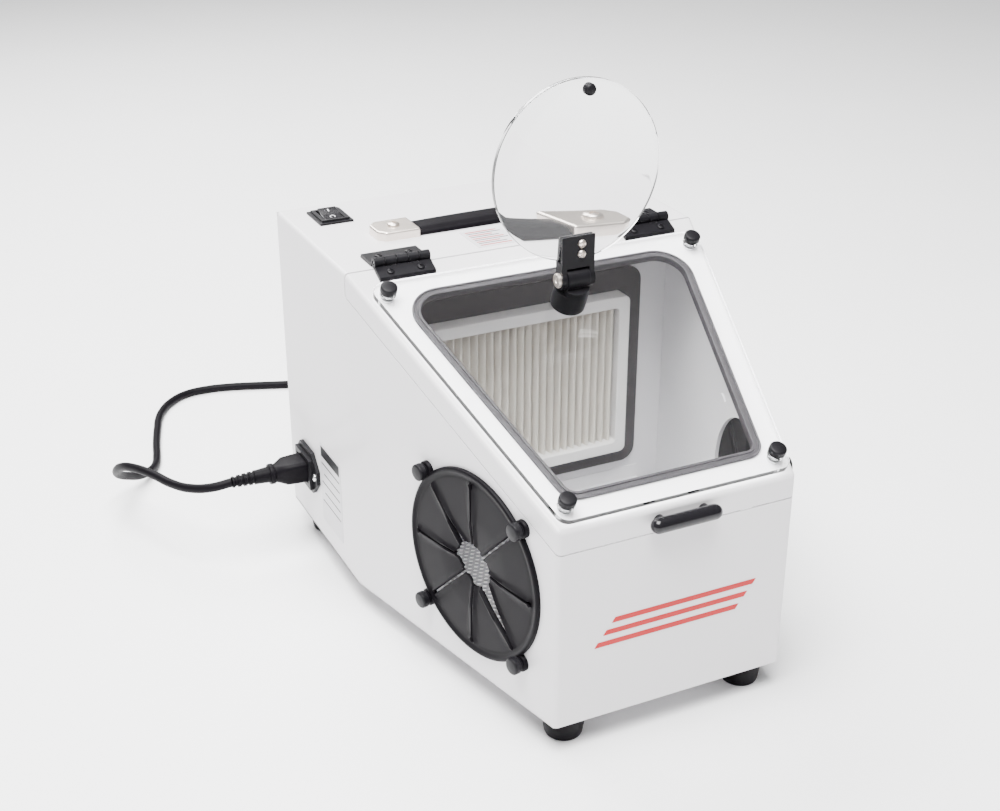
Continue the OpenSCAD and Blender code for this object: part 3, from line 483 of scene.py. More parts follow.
def baked(bm, modifiers):
    """bm after a list of modifiers, each a (kind, settings) pair. Cutters are removed."""
    mesh = bpy.data.meshes.new("work")
    bm.to_mesh(mesh)
    bm.free()
    work = bpy.data.objects.new("work", mesh)
    bpy.context.scene.collection.objects.link(work)
    for kind, settings in modifiers:
        added = work.modifiers.new(kind.lower(), kind)
        for key, value in settings.items():
            setattr(added, key, value)
    bpy.context.view_layer.update()
    shown = work.evaluated_get(bpy.context.evaluated_depsgraph_get())
    out = bmesh.new()
    out.from_mesh(shown.to_mesh())
    for _, settings in modifiers:
        if "object" in settings:
            bpy.data.objects.remove(settings["object"])
    bpy.data.objects.remove(work)
    return out


def cutter(bm):
    bmesh.ops.recalc_face_normals(bm, faces=bm.faces)
    mesh = bpy.data.meshes.new("cutter")
    bm.to_mesh(mesh)
    bm.free()
    made = bpy.data.objects.new("cutter", mesh)
    bpy.context.scene.collection.objects.link(made)
    return made


def cut_by(bm):
    return ("BOOLEAN", {"operation": "DIFFERENCE", "solver": "EXACT", "object": cutter(bm)})


def copy_into(bm, source, place):
    """Adds a copy of the bmesh source, moved by place."""
    made = {v: bm.verts.new(place @ v.co) for v in source.verts}
    for face in source.faces:
        bm.faces.new([made[v] for v in face.verts])


# ---------- Mains lead ----------


def cord_route():
    """Middle line of the lead: down to the ground, round behind the cabinet and into a coil.

    The coil has two flat turns that close in, one that climbs onto them and two that open out on top.
    """
    ground = -FOOT_H + CORD_D / 2 + 0.2
    run = [
        (-197, 314, 49), (-212, 318, 46), (-225, 330, 42.5), (-235, 348, 40), (-244, 368, 40),
        (-253, 388, 38), (-260, 407, 32), (-262, 424, 21), (-258, 439, 9), (-248, 452, -1),
        (-236, 464, -9), (-225, 477, -13.5), (-217, 491, -16), (-212, 507, ground),
        (-208, 524, ground), (-203, 543, ground), (-198, 560, ground), (-193, 576, ground),
        (-185, 593, ground), (-173, 608, ground),
        (-156, 619, ground), (-136, 621, ground), (-114, 617, ground), (-90, 609, ground),
        (-66, 600, ground), (-42, 592, ground), (-18, COIL_TOP_Y, ground),
    ]
    turns, per_turn = 5, 16
    middle_y = COIL_TOP_Y - COIL_R - CORD_D
    coil = []
    for k in range(turns * per_turn + 1):
        t = k / per_turn
        rise = 0
        if t <= 2:
            r = COIL_R + CORD_D - CORD_D * t
        elif t <= 3:
            r = COIL_R - CORD_D - 0.2
            beside = (COIL_R - CORD_D * (t - 2) - r) / CORD_D
            rise = CORD_D * math.sqrt(max(0, 1 - min(1, beside) ** 2))
        else:
            r = COIL_R - CORD_D + CORD_D * (t - 3)
            rise = CORD_D
        a = math.pi / 2 - 2 * math.pi * t
        coil.append((r * math.cos(a), middle_y + r * math.sin(a), ground + rise))
    return run + coil + [(18, COIL_TOP_Y, PLUG_Z)]


def make_cord():
    """The lead as a round curve with smooth knots."""
    points = [CABINET @ Vector(p) for p in cord_route()]
    data = bpy.data.curves.new("mains_lead", "CURVE")
    data.dimensions = "3D"
    data.resolution_u = 6
    data.bevel_depth = CORD_D / 2 * MM
    data.bevel_resolution = 4
    data.use_fill_caps = True
    spline = data.splines.new("BEZIER")
    spline.bezier_points.add(len(points) - 1)
    for knot, p in zip(spline.bezier_points, points):
        knot.co = p
        knot.handle_left_type = knot.handle_right_type = "AUTO"
    lead = bpy.data.objects.new("mains_lead", data)
    bpy.context.scene.collection.objects.link(lead)
    data.materials.append(MATERIALS["black_rubber"])
    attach(lead, "cabinet")
    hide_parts("cord_run", "cord_coil")
    return lead, points


def relief(bm, length, place, r0=6.5, r1=4.25, ribs=4):
    """A tapered strain relief along local z, grooved all round near its thin end."""
    profile = [(0, 0), (r0, 0), (r0, 2)]
    start = length * 0.35
    step = (length - start) / (ribs + 0.5)
    for i in range(ribs):
        z = start + i * step
        r = r0 + (r1 - r0) * z / length
        groove = r - 1.1
        profile += [(r, z), (r, z + 0.52 * step), (groove, z + 0.6 * step), (groove, z + 0.94 * step)]
    profile += [(r1 + 0.3, length - 1.2), (r1, length), (0, length)]
    lathe(bm, profile, place, 32)


def make_connector():
    """The lead's socket in the inlet: a body that narrows to a collar, then the relief."""
    bm = bmesh.new()
    base = CABINET @ at(-HALF_REAR - INLET_T, INLET_Y, INLET_Z) @ turn(-90, "Y")
    stations = [
        (0, 17, 22, 3), (10, 17, 22, 3.5), (18, 16.6, 21, 4), (22, 14.5, 17, 5),
        (25, 13.4, 14.4, 6), (27, 13, 13.4, 6.4),
    ]
    swept(bm, [[base @ Vector((x, y, z)) for x, y in round_rect(w, h, r)] for z, w, h, r in stations])
    lathe(bm, [(0, 26), (7.6, 26), (8, 26.6), (8, 29.4), (7.6, 30), (0, 30)], base, 40)
    relief(bm, 30, base @ at(0, 0, 29), 6.2)
    prism(bm, round_rect(16, 23, 2), -12, 0.5, base)
    return piece("cord_connector", bm, "cabinet", "black_rubber", ["power_connector"])


def make_plug():
    """The moulded three-pin plug with its relief and blades."""
    bm = bmesh.new()
    base = CABINET @ at(PLUG_X, COIL_TOP_Y, PLUG_Z)
    lying = base @ turn(90, "Y")
    stations = [
        (0, 15, 14, 6), (3, 20, 18, 6), (8, 23.5, 21.5, 6), (24, 24, 22, 5), (30, 23.4, 21.6, 4),
        (32, 22.4, 20.6, 4),
    ]
    swept(bm, [[lying @ Vector((x, y, z)) for x, y in round_rect(w, h, r)] for z, w, h, r in stations])
    relief(bm, 22.5, base @ turn(-90, "Y"), 6.2)
    plug = piece("plug_body", bm, "cabinet", "black_rubber", ["mains_plug"])
    bm = bmesh.new()
    for y in (-6.35, 6.35):
        prism(bm, [(31, y - 0.75), (49, y - 0.75), (49, y + 0.75), (31, y + 0.75)], -1, 5.3, base)
    bevel(bm, list(bm.edges), 0.25 * MM, 2)
    earth_pin = [(0, 31), (2.4, 31), (2.4, 48), (1.9, 50), (1, 51), (0, 51)]
    lathe(bm, earth_pin, base @ at(0, 0, -6.5) @ turn(90, "Y"), 24)
    blades = piece("plug_blades", bm, "cabinet", "nickel")
    return [plug, blades]


# ---------- Sheet metal ----------

FOLD_STEPS = 5
THICKEN = ("SOLIDIFY", {"thickness": SHEET, "offset": -1, "use_even_offset": True})


def make_shell():
    """Front, sides and top as one folded skin, round at the front and the roof, with the port holes."""
    bm = bmesh.new()
    front_top = LID_FRONT - SKIRT - SEAM
    bend_top = CAB_H - SKIRT - SEAM
    rear_y = CAB_D - SHEET
    verts = []
    for side in (-1, 1):
        front, rear = side * HALF_FRONT, side * HALF_REAR
        verts += [
            (front, 0, 0), (front, 0, front_top),
            (rear, TAPER_D, 0), (rear, TAPER_D, bend_top), (rear, TAPER_D, CAB_H),
            (rear, rear_y, 0), (rear, rear_y, CAB_H),
        ]
    open_faces = [(0, 2, 9, 7), (2, 5, 12, 9), (1, 8, 10, 3), (3, 10, 11, 4), (5, 6, 13, 12)]
    faces = [(0, 7, 8, 1), (4, 11, 13, 6)] + open_faces
    for o in (0, 7):
        faces += [(o, o + 1, o + 3, o + 2), (o + 2, o + 3, o + 4, o + 6, o + 5)]
    v = add_mesh(bm, verts, faces, AS_IT_IS)
    spare = [bm.faces.get([v[i] for i in face]) for face in open_faces]
    folds = [(0, 1), (7, 8), (4, 6), (11, 13)]
    edges = [bm.edges.get((v[a], v[b])) for a, b in folds]
    bmesh.ops.delete(bm, geom=spare, context="FACES")
    bmesh.ops.recalc_face_normals(bm, faces=bm.faces)
    bevel(bm, edges, FOLD, FOLD_STEPS)
    face_up(bm)
    holes = bmesh.new()
    drill = [(0, -15), (PORT_HOLE_R, -15), (PORT_HOLE_R, 15), (0, 15)]
    for side in (-1, 1):
        lathe(holes, drill, CABINET.inverted() @ on_wall(side), 96)
    bm = baked(bm, [THICKEN, cut_by(holes)])
    bm.transform(CABINET)
    nodes = ["front_panel", "side_panel_left", "side_panel_right", "top_panel"]
    return piece("cabinet_shell", bm, "cabinet", "white_paint", nodes, weighted=True)


def make_lid():
    """The lid's folded frame: a skirt all round with round folds, and the window's opening."""
    bm = bmesh.new()
    rear_y = TAPER_D - SEAM
    rear_half = HALF_FRONT + rear_y * math.tan(TAPER)
    rear_z = LID_FRONT + rear_y * math.tan(SLOPE)
    corners = [
        (-HALF_FRONT, 0, LID_FRONT), (HALF_FRONT, 0, LID_FRONT),
        (rear_half, rear_y, rear_z), (-rear_half, rear_y, rear_z),
    ]
    verts = corners + [(x, y, z - SKIRT) for x, y, z in corners]
    v = add_mesh(bm, verts, [(0, 1, 2, 3), (0, 4, 5, 1), (1, 5, 6, 2), (3, 7, 4, 0)], AS_IT_IS)
    folds = [(0, 1), (1, 2), (3, 0), (0, 4), (1, 5)]
    bevel(bm, [bm.edges.get((v[a], v[b])) for a, b in folds], FOLD, FOLD_STEPS)
    bmesh.ops.recalc_face_normals(bm, faces=bm.faces)
    face_up(bm)
    opening = bmesh.new()
    prism(opening, lid_outline(22.5, 202, 22, 9, 18), -6, 6, CABINET.inverted() @ ON_LID)
    bm = baked(bm, [THICKEN, cut_by(opening)])
    bm.transform(CABINET)
    return piece("lid_skin", bm, "lid", "white_paint", ["lid_frame"], weighted=True)


def make_screen():
    """The raised floor, punched all over with six-sided holes in staggered rows."""
    bm = bmesh.new()
    pitch = 5
    hole = 0.42 * pitch
    row = pitch * math.sqrt(3) / 2
    top = 14
    y0, y1 = 6, 236
    edge = 2.2

    def half(y):
        return HALF_FRONT + min(y, TAPER_D) * math.tan(TAPER) - edge

    cells = []
    for iy in range(int((y1 - y0) / row)):
        y = y0 + (iy + 0.5) * row
        shift = 0.5 * (iy % 2)
        count = int(half(y - row) / pitch - 0.6)
        cells += [((ix + shift) * pitch, y) for ix in range(-count, count + 1)]
    angles = [math.radians(60 * k + 30) for k in range(6)]
    for x, y in cells:
        big, small = (
            [(x + r * math.cos(a), y + r * math.sin(a)) for a in angles]
            for r in (pitch / math.sqrt(3), hole)
        )
        loops = [
            [bm.verts.new((px, py, pz)) for px, py in line]
            for line, pz in ((big, top), (small, top), (small, top - SHEET), (big, top - SHEET))
        ]
        for a, b in zip(loops, loops[1:]):
            for i in range(6):
                j = (i + 1) % 6
                bm.faces.new((a[i], a[j], b[j], b[i]))
    bmesh.ops.remove_doubles(bm, verts=bm.verts, dist=0.02)
    rim = [(half(y0), y0), (half(TAPER_D), TAPER_D), (half(y1), y1)]
    outer = rim + [(-x, y) for x, y in rim[::-1]]
    inset = {y0: 4, y1: -4}
    inner = [(x - math.copysign(7, x), y + inset.get(y, 0)) for x, y in outer]
    tube_band(bm, outer, inner, top - SHEET - 0.05, top - 0.05, AS_IT_IS)
    bm.transform(CABINET)
    return piece("punched_floor", bm, "cabinet", "screen_steel", ["grit_screen"])


# ---------- Arm ports ----------


SLIT_ENDS = [17.5, 13.2, 14.6, 17.2, 19.5, 14, 16.4, 18.5]


def eye_radius(petal, across):
    """How far from the middle a petal's cut tip lies, across running from -1 to 1 over the petal."""
    start, end = SLIT_ENDS[petal], SLIT_ENDS[(petal + 1) % 8]
    chord = start + (end - start) * (across + 1) / 2
    return chord * (1 - 0.07 * (1 - across ** 2)) + 0.35 * math.sin(9 * across + 2 * petal)


def slit_half_width(slit, r):
    """Half the gap of a slit at a radius. Slit 7 gapes, slit 3 opens inwards, 1 and 5 are cut wider."""
    if slit == 7:
        return 0.9 + 5.4 * max(0, (57 - r) / 40)
    if slit == 3:
        return 0.3 + 2.6 * max(0, (39 - r) / 22)
    if slit in (1, 5):
        return 0.75
    hole_r, hole_at = 1.6, 58
    hole = math.sqrt(max(0, hole_r ** 2 - (r - hole_at) ** 2)) if abs(r - hole_at) < hole_r else 0
    return max(0.3, hole)


def make_diaphragm(side):
    """A rubber disc slit into eight petals, with lips along the slits and a rolled rim."""
    bm = bmesh.new()
    place = on_wall(side)
    skin, lip_h, lip_w = 2, 1.3, 2.6
    radii = [k / 20 for k in range(21)]
    across = [-1 + 2 * k / 14 for k in range(15)]
    across = [math.copysign(1 - (1 - abs(a)) ** 1.7, a) for a in across]
    slit_end = 60

    def height(r, gap_distance):
        lip = 0
        if 0 < gap_distance < lip_w:
            lip = lip_h * math.sin(math.pi * (gap_distance / lip_w) ** 0.8) ** 0.7
        fade = min(1, max(0, (61.5 - r) / 3))
        sag = 4 * max(0, (36 - r) / 36) ** 1.6
        return lip * fade - sag

    for petal in range(8):
        middle = math.radians(45 * petal + 22.5)
        columns = []
        for a in across:
            column = []
            start = eye_radius(petal, a)
            slit = petal if a < 0 else (petal + 1) % 8
            for f in radii:
                r = start + (slit_end - start) * f
                half_gap = slit_half_width(slit, r)
                reach = math.radians(22.5) - math.asin(min(0.95, half_gap / r))
                angle = middle + a * reach
                gap_distance = (1 - abs(a)) * reach * r
                z = skin + height(r, gap_distance)
                column.append((r * math.cos(angle), r * math.sin(angle), z))
            columns.append(column)
        upper, lower = (
            [[bm.verts.new((x, y, z - drop)) for x, y, z in column] for column in columns]
            for drop in (0, skin)
        )
        n, m = len(columns), len(radii)
        for i in range(n - 1):
            for j in range(m - 1):
                bm.faces.new((upper[i][j], upper[i][j + 1], upper[i + 1][j + 1], upper[i + 1][j]))
                bm.faces.new((lower[i + 1][j], lower[i + 1][j + 1], lower[i][j + 1], lower[i][j]))
        for i in range(n - 1):
            bm.faces.new((upper[i][0], upper[i + 1][0], lower[i + 1][0], lower[i][0]))
        for i, flip in ((0, False), (n - 1, True)):
            for j in range(m - 1):
                quad = (upper[i][j], lower[i][j], lower[i][j + 1], upper[i][j + 1])
                bm.faces.new(quad[::-1] if flip else quad)
    rim = [
        (slit_end - 0.6, 0), (PORT_R, 0), (PORT_R, 2.2), (PORT_R - 0.8, PORT_RIM_T),
        (PORT_R - 2.6, PORT_RIM_T), (PORT_R - 3.6, 2.1), (slit_end + 0.6, skin), (slit_end - 0.6, skin),
    ]
    steps = 128
    turns = [2 * math.pi * k / steps for k in range(steps)]
    loops = [[bm.verts.new((r * math.cos(a), r * math.sin(a), z)) for a in turns] for r, z in rim]
    for a, b in zip(loops, loops[1:] + loops[:1]):
        for k in range(steps):
            j = (k + 1) % steps
            bm.faces.new((a[k], a[j], b[j], b[k]))
    ear = [(0, 0), (EAR_R, 0), (EAR_R, 2.4), (EAR_R - 0.7, PORT_RIM_T), (0, PORT_RIM_T)]
    for x in (-KNOB_HALF, KNOB_HALF):
        for y in (-KNOB_HALF, KNOB_HALF):
            lathe(bm, ear, at(x, y, 0), 40)
    bm.transform(place)
    name = "left" if side < 0 else "right"
    return piece("petals_" + name, bm, "cabinet", "black_rubber", ["port_diaphragm_" + name], sharp=50)


# ---------- Knobs and screws ----------


def knob_profile():
    """A mushroom head: a narrow neck, a grip band and a low crown."""
    r, h, crown = 5.75, 7, 1.8
    profile = [(0, 0), (r - 1.4, 0), (r - 1.1, 0.3), (r - 1.1, 1.3), (r - 1, 1.6), (r - 0.3, 1.9)]
    profile += [(r, z) for z in (2.3, 2.6, 3.4, 4.2, 5)]
    for k in range(1, 7):
        a = math.radians(15 * k)
        profile.append((r - 1.6 + 1.6 * math.cos(a), h - crown + (crown - 0.4) * math.sin(a)))
    return profile + [(r * 0.45, h - 0.1), (0, h)]


def make_knob(cad_node, body, place):
    bm = bmesh.new()
    lathe(bm, knob_profile(), place, 96, flutes=28, flute_depth=0.2, flute_z=(2.4, 5.1))
    return piece(cad_node + "_head", bm, body, "black_plastic", [cad_node], sharp=55)


def make_knobs():
    for side in (-1, 1):
        hand = "left" if side < 0 else "right"
        for row, (x, s) in zip(("front", "rear"), WINDOW_KNOBS):
            name = f"window_knob_{row}_{hand}"
            make_knob(name, name, ON_LID @ at(side * x, s, PANE_TOP + WASHER_T + GAP))
        for level in ("upper", "lower"):
            for end in ("front", "rear"):
                name = f"port_knob_{hand}_{level}_{end}"
                x = KNOB_HALF if end == "front" else -KNOB_HALF
                y = KNOB_HALF if level == "upper" else -KNOB_HALF
                make_knob(name, name, on_wall(side) @ at(x, y, PORT_RIM_T + GAP))


def screw_master(head_d, head_h, shank_d):
    """A pan-head screw with a cross recess, head up, underside of its head at z = 0."""
    bm = bmesh.new()
    r = head_d / 2
    steps = [math.radians(15 * k) for k in range(6)]
    dome = [(r * math.cos(a), head_h * (0.35 + 0.65 * math.sin(a))) for a in steps]
    shank = [(0, -4), (shank_d / 2, -4), (shank_d / 2, 0)]
    lathe(bm, shank + [(r, 0)] + dome + [(0, head_h)], AS_IT_IS, 32)
    bmesh.ops.recalc_face_normals(bm, faces=bm.faces)
    recess = bmesh.new()
    long, wide = 0.62 * r, 0.13 * r
    cross = [
        (long, -wide), (long, wide), (wide, wide), (wide, long), (-wide, long), (-wide, wide),
        (-long, wide), (-long, -wide), (-wide, -wide), (-wide, -long), (wide, -long), (wide, -wide),
    ]
    prism(recess, cross, head_h * 0.45, head_h + 1, AS_IT_IS)
    return baked(bm, [cut_by(recess)])


def make_screws(name, cad_nodes, body, slot, head, places):
    master = screw_master(*head)
    bm = bmesh.new()
    for k, place in enumerate(places):
        copy_into(bm, master, place @ turn(37 * k % 90, "Z"))
    master.free()
    return piece(name, bm, body, slot, cad_nodes, sharp=30)


def make_all_screws():
    hinge_x = [side * HINGE_X + dx for side in (-1, 1) for dx in (-HINGE_SCREWS, HINGE_SCREWS)]
    make_screws(
        "handle_pans", ["handle_screws"], "cabinet", "nickel", (9, 2.4, 4),
        [CABINET @ at(side * (HANDLE_HALF - CAP_LEN / 2), STRAP_Y, CAB_H + CAP_T) for side in (-1, 1)],
    )
    make_screws(
        "hinge_pans_upper", ["hinge_screws_upper"], "cabinet", "black_plastic", (5.2, 1.3, 3),
        [CABINET @ at(x, HINGE_SCREW_Y, CAB_H + LEAF_T) for x in hinge_x],
    )
    make_screws(
        "hinge_pans_lower", ["hinge_screws_lower"], "lid", "black_plastic", (5.2, 1.3, 3),
        [ON_LID @ at(x, HINGE_SCREW_Y, LEAF_T) for x in hinge_x],
    )
    make_screws(
        "pull_pans", ["lid_pull_screws"], "lid", "zinc_steel", (7, 2.2, 4),
        [CABINET @ at(x, SHEET, PULL_Z) @ turn(-90, "X") for x in (-PULL_POSTS, PULL_POSTS)],
    )
    inlet = CABINET @ at(-HALF_REAR - INLET_T, INLET_Y, INLET_Z)
    case = [inlet @ at(0, y, 0) @ turn(-90, "Y") for y in (-INLET_SCREWS, INLET_SCREWS)]
    case += [CABINET @ at(x * 121, CAB_D, z) @ turn(-90, "X") for x in (-1, 1) for z in (16, CAB_H - 16)]
    case += [CABINET @ at(x * (86 + dx), 235, 15.2) for x in (-1, 1) for dx in (0, 18)]
    case += [CABINET @ at(x, y, -10) @ turn(180, "X") for x, y in FEET]
    make_screws("case_pans", ["case_screws"], "cabinet", "zinc_steel", (6, 2, 3), case)


def make_window_studs():
    """The pane's four shouldered studs, the magnifier's stud and the clear washers under the knobs."""
    spots = [(side * x, s) for x, s in WINDOW_KNOBS for side in (-1, 1)]
    stud = [(0, -SHEET), (2, -SHEET), (2, 0), (4.5, 0), (4.5, 1.8), (2, 1.8), (2, 14), (0, 14)]
    bm = bmesh.new()
    for x, s in spots:
        lathe(bm, stud, ON_LID @ at(x, s, 0), 32)
    lathe(
        bm, [(0, 0.2), (2.6, 0), (4.3, 0.4), (4.5, 1), (4.5, 1.9), (2.5, 1.9), (2.5, 13), (0, 13)],
        ON_LID @ at(0, BASE_S, 0), 40,
    )
    piece("lid_studs", bm, "lid", "zinc_steel", ["window_studs"], sharp=30)
    washer = [(0, 0), (5.2, 0), (5.5, 0.3), (5.5, 0.8), (5.2, WASHER_T + 0.1), (0, WASHER_T + 0.1)]
    bm = bmesh.new()
    for x, s in spots:
        lathe(bm, washer, ON_LID @ at(x, s, PANE_TOP + 0.02), 40)
    piece("stud_washers", bm, "lid", "clear_acrylic", sharp=50)


# ---------- Window, magnifier, handle and small parts ----------


def make_gasket():
    """Grooved rubber trim: a flat band with a bead along each edge, the inner one hanging down."""
    bm = bmesh.new()

    def line(inset):
        radii = max(3, 15 - inset), max(6, 25 - inset)
        return lid_outline(16.5 + inset, 208 - inset, 16 + inset, *radii)

    for near, far, low, high in ((1.4, 3, 0.02, 1.95), (2.8, 5.4, 0.02, 1.3), (5.2, 7.2, -3.4, 1.95)):
        tube_band(bm, line(near), line(far), low, high, ON_LID)
    bmesh.ops.recalc_face_normals(bm, faces=bm.faces)
    bevel(bm, sharp_edges(bm, 50), 0.45 * MM, 3)
    piece("window_trim", bm, "lid", "grey_rubber", ["window_gasket"], sharp=60)


def make_pull():
    """A polished rod with domed ends on two short posts."""
    bm = bmesh.new()
    r, half, reach = 5, 25, 12
    place = CABINET @ at(0, r - reach, PULL_Z) @ turn(90, "Y")
    steps = [math.radians(15 * k) for k in range(1, 7)]
    profile = [(0, -half)] + [(r * math.sin(a), -half + r * (1 - math.cos(a))) for a in steps]
    profile += [(x, -z) for x, z in profile[::-1]]
    lathe(bm, profile, place, 48)
    for x in (-PULL_POSTS, PULL_POSTS):
        post = CABINET @ at(x, -0.02, PULL_Z) @ turn(90, "X")
        lathe(bm, [(0, 0), (3.5, 0), (3.5, 9), (0, 9)], post, 32)
    return piece("pull_rod", bm, "lid", "black_gloss", ["lid_pull"], sharp=50)


def make_lens():
    """A clear lens that bulges on both faces, with a narrow polished rim and a black grip button."""
    bm = bmesh.new()
    reach = LENS_R - 1.5
    radius = (reach ** 2 + LENS_BULGE ** 2) / (2 * LENS_BULGE)
    half = math.asin(reach / radius)
    face = [
        (radius * math.sin(half * k / 28), LENS_RIM + radius * (math.cos(half * k / 28) - math.cos(half)))
        for k in range(29)
    ]
    profile = face + [(LENS_R - 0.3, LENS_RIM - 0.1), (LENS_R, LENS_RIM - 0.5)]
    profile += [(r, -z) for r, z in profile[::-1]]
    place = CABINET @ at(0, PIVOT_Y, PIVOT_Z + LENS_DROP + LENS_R) @ turn(90, "X")
    lathe(bm, profile, place, 144)
    piece("lens", bm, "magnifier_arm", "clear_acrylic", ["magnifier_lens"], sharp=30)
    bm = bmesh.new()
    grip_z = PIVOT_Z + LENS_DROP + 2 * LENS_R - 7
    grip = CABINET @ at(5, PIVOT_Y - LENS_RIM - 0.2, grip_z) @ turn(90, "X")
    lathe(bm, [(0, 0), (4, 0), (4, 3.2), (3.7, 4.2), (3, 5), (1.8, 5.4), (0, 5.5)], grip, 48)
    piece("grip_button", bm, "magnifier_arm", "black_plastic", ["lens_grip"], sharp=50)


def make_magnifier_screws():
    """Two plated pan screws through the plates, and the pivot bolt with its flat head."""
    places = [CABINET @ at(2, PIVOT_Y - PLATE_FACE, PIVOT_Z + z) @ turn(90, "X") for z in (18, 25)]
    master = screw_master(5.6, 2.3, 3)
    bm = bmesh.new()
    for k, place in enumerate(places):
        copy_into(bm, master, place @ turn(20 + 35 * k, "Z"))
    master.free()
    pivot = CABINET @ at(0, PIVOT_Y, PIVOT_Z) @ turn(90, "Y")
    bolt = [(0, -13.6), (1.3, -13.6), (1.5, -14), (4.4, -14), (5, -13.4), (5, -12)]
    lathe(bm, bolt + [(2.5, -12), (2.5, 12), (0, 12)], pivot, 40)
    piece("magnifier_fixings", bm, "magnifier_arm", "nickel", ["magnifier_screws"], sharp=30)


def make_handle():
    """A flat padded strap with a welt along each edge, held by two plated caps."""
    bm = bmesh.new()
    half = HANDLE_HALF - 8
    section = [
        (-12, 0.3), (-12, 1.7), (-11.4, 2.5), (-10.2, 2.7), (-9.6, 3.1), (-8.4, 4.2), (-6, 4.9), (-2, 5.2),
        (2, 5.2), (6, 4.9), (8.4, 4.2), (9.6, 3.1), (10.2, 2.7), (11.4, 2.5), (12, 1.7), (12, 0.3),
    ]
    rings = []
    steps = 36
    for k in range(steps + 1):
        x = -half + 2 * half * k / steps
        swell = 0.9 * max(0, 1 - (x / 62) ** 2)
        rings.append([
            CABINET @ Vector((x, STRAP_Y + y, CAB_H + z + (swell if z > 0.4 else 0))) for y, z in section
        ])
    swept(bm, rings)
    piece("strap", bm, "cabinet", "black_rubber", ["carry_strap"], sharp=50)
    bm = bmesh.new()
    w = CAP_W / 2
    for side in (-1, 1):
        outline = [(0, -w + 6), (5, -w), (CAP_LEN, -w), (CAP_LEN, w), (5, w), (0, w - 6)]
        outline = [(side * (HANDLE_HALF - x), STRAP_Y + y) for x, y in outline]
        prism(bm, outline, CAB_H, CAB_H + CAP_T, CABINET)
    bmesh.ops.recalc_face_normals(bm, faces=bm.faces)
    floor = (CABINET @ Vector((0, 0, CAB_H + 1))).z
    edges = [e for e in sharp_edges(bm, 20) if max(v.co.z for v in e.verts) > floor]
    bevel(bm, edges, 1.5 * MM, 4)
    piece("strap_caps", bm, "cabinet", "nickel", ["handle_end_caps"], weighted=True)


def make_rocker():
    """The rocker with its dished faces, and plain bar and ring marks on them."""
    place = CABINET @ at(SWITCH_X, SWITCH_Y, CAB_H - 2) @ Matrix.Rotation(ROCKER_TILT, 4, "X")
    bm = bmesh.new()
    profile = [(-9.2, 1.5), (-9.2, 5), (-8.6, 6.4)]
    profile += [(-8.6 + 17.2 * k / 12, 5.1 + 1.3 * abs(-1 + k / 6) ** 1.4) for k in range(1, 12)]
    profile += [(8.6, 6.4), (9.2, 5), (9.2, 1.5), (3, -2.5), (-3, -2.5)]
    side = turn(90, "Z") @ turn(90, "X")
    prism(bm, profile, -7, 7, place @ side)
    bmesh.ops.recalc_face_normals(bm, faces=bm.faces)
    bevel(bm, sharp_edges(bm, 40), 0.5 * MM, 3)
    piece("rocker", bm, "switch_rocker", "black_gloss", ["switch_rocker"], weighted=True)
    bm = bmesh.new()
    prism(bm, [(-0.45, 3.2), (0.45, 3.2), (0.45, 6.6), (-0.45, 6.6)], 5.2, 5.95, place)
    ring = arc(0, -4.9, 2, 0, 345, 23)
    hole = arc(0, -4.9, 1.5, 0, 345, 23)
    tube_band(bm, ring, hole, 5.2, 5.95, place)
    piece("rocker_marks", bm, "switch_rocker", "label_film")


def make_feet():
    """Screw-on rubber feet that narrow downwards, each with a recess for its screw."""
    profile = [(0, 10), (5.5, 10), (5.5, 0.6), (6.1, 0), (11, 0), (12, 0.4), (12.6, 1.6)]
    profile += [(15.2, 18.6), (15.5, 19.6), (15.3, 20), (0, 20)]
    bm = bmesh.new()
    for x, y in FEET:
        lathe(bm, profile, CABINET @ at(x, y, -FOOT_H), 56)
    piece("rubber_feet", bm, "cabinet", "black_rubber", ["feet"], sharp=50)


def box_outline(x0, y0, x1, y1):
    return [(x0, y0), (x1, y0), (x1, y1), (x0, y1)]


def make_labels():
    """Blank labels: thin films with round corners and a few plain printed bars."""
    films = bmesh.new()
    side = CABINET @ at(-HALF_REAR - 0.02, 265, 50) @ turn(-90, "Y")
    top = CABINET @ at(-17, 238.5, CAB_H + 0.02)
    prism(films, round_rect(66, 44, 2), 0, LABEL_T, side)
    prism(films, round_rect(32, 35, 1.5), 0, LABEL_T, top)
    piece("label_films", films, "cabinet", "label_film", ["labels"])
    dark = bmesh.new()
    prism(dark, box_outline(22, -19.5, 30.5, 19.5), *INK, side)
    for k in range(5):
        x = 16 - 8 * k
        prism(dark, box_outline(x, -19, x + 1, 19 - 5 * (k % 2)), *INK, side)
    for k in range(4):
        y = 9.5 - 6.8 * k
        prism(dark, box_outline(-13, y, 13 - 4 * (k % 2), y + 1), *INK, top)
    piece("label_bars_dark", dark, "cabinet", "black_plastic")
    red = bmesh.new()
    for k in range(5):
        y = 12.5 - 6.8 * k
        prism(red, box_outline(-13, y, 11 - 6 * (k % 2), y + 1.3), *INK, top)
    piece("label_bars_red", red, "cabinet", "red_film")


def make_stripe():
    """Three plain slanted bars on the front, in place of any lettering."""
    bm = bmesh.new()
    front = CABINET @ turn(90, "X")
    slant = 2.4
    for k in range(3):
        x0, z0 = -58 + 6 * k, 53 + 8 * k
        prism(
            bm, [(x0, z0), (x0 + 104, z0), (x0 + 104 + slant, z0 + 3.5), (x0 + slant, z0 + 3.5)],
            -0.02, 0.28, front,
        )
    piece("front_bars", bm, "cabinet", "red_film", ["front_stripe"])


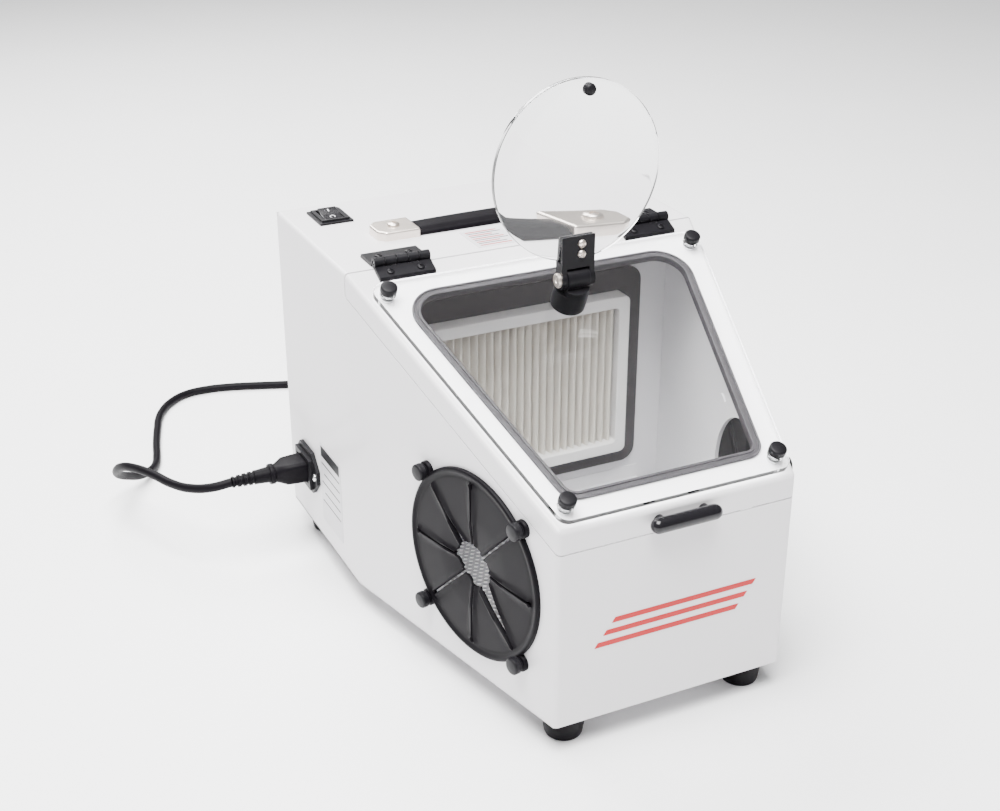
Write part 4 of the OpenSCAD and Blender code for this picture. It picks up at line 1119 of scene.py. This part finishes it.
def make_pleats():
    """Folded paper between the filter's frame: rounded ridges, with deep shaded valleys."""
    count, per_pleat = 27, 12
    depth, paper_t, back_gap = 8.8, 0.9, 0.1
    low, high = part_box("filter_media")
    wide = (high.x - low.x) / MM
    valley_y = high.y / MM - FRONT_Y - back_gap
    low_z, high_z = low.z / MM - FOOT_H, high.z / MM - FOOT_H
    line = []
    for k in range(count * per_pleat + 1):
        ridge = (0.5 - 0.5 * math.cos(2 * math.pi * (k / per_pleat % 1))) ** 0.7
        line.append((-wide / 2 + wide * k / (count * per_pleat), valley_y - depth * ridge))
    bm = bmesh.new()
    verts = [(x, y, z) for z in (low_z, high_z) for x, y in line]
    verts += [(x, y + paper_t, z) for z in (high_z, low_z) for x, y in line]
    n = len(line)
    faces = grid_faces(4, n) + [(3 * n + i, 3 * n + i + 1, i + 1, i) for i in range(n - 1)]
    faces += [(0, n, 2 * n, 3 * n), (n - 1, 4 * n - 1, 3 * n - 1, 2 * n - 1)]
    add_mesh(bm, verts, faces, CABINET)
    piece("pleated_paper", bm, "cabinet", "filter_paper", ["filter_media"], sharp=70)


def make_softened():
    """CAD shapes that only need their edges rounded."""
    for cad_node, slot, width in (
        ("floor_pan", "white_paint", 0.4),
        ("back_panel", "white_paint", 0.5),
        ("bulkhead", "white_paint", 0.3),
        ("screen_clip", "white_paint", 0.35),
        ("filter_gasket", "grey_foam", 0.8),
        ("filter_frame", "filter_card", 0.9),
        ("port_rings", "white_paint", 0.4),
        ("hinge_upper_leaves", "black_plastic", 0.4),
        ("hinge_lower_leaves", "black_plastic", 0.4),
        ("hinge_pins", "zinc_steel", 0.3),
        ("switch_bezel", "black_plastic", 0.5),
        ("power_inlet", "black_plastic", 0.6),
        ("window_pane", "clear_acrylic", 0.5),
        ("magnifier_base", "black_plastic", 0.5),
        ("magnifier_clamp", "black_plastic", 0.5),
        ("blower_housing", "zinc_steel", 0.4),
        ("blower_motor", "motor_steel", 0.8),
        ("blower_impeller", "impeller_plastic", 0.3),
    ):
        softened(cad_node, slot, width, 3 if width >= 0.5 else 2)


def make_stage():
    bpy.ops.mesh.primitive_plane_add(size=14, location=(0, 2, 0))
    floor = bpy.context.object
    floor.name = "floor"
    pale = material("studio_floor", (0.93, 0.93, 0.935), 0.6, shade=0.01, patch=3, bump=0.02)
    floor.data.materials.append(pale)


# ---------- Putting it together ----------

make_camera()
MATERIALS = make_materials()
lead, route = make_cord()
connector = make_connector()
plug_pieces = make_plug()
make_light()
make_shell()
make_lid()
make_screen()
for hand in (-1, 1):
    make_diaphragm(hand)
make_knobs()
make_all_screws()
make_window_studs()
make_gasket()
make_pull()
make_lens()
make_magnifier_screws()
make_handle()
make_rocker()
make_feet()
make_labels()
make_stripe()
make_pleats()
make_softened()
make_stage()
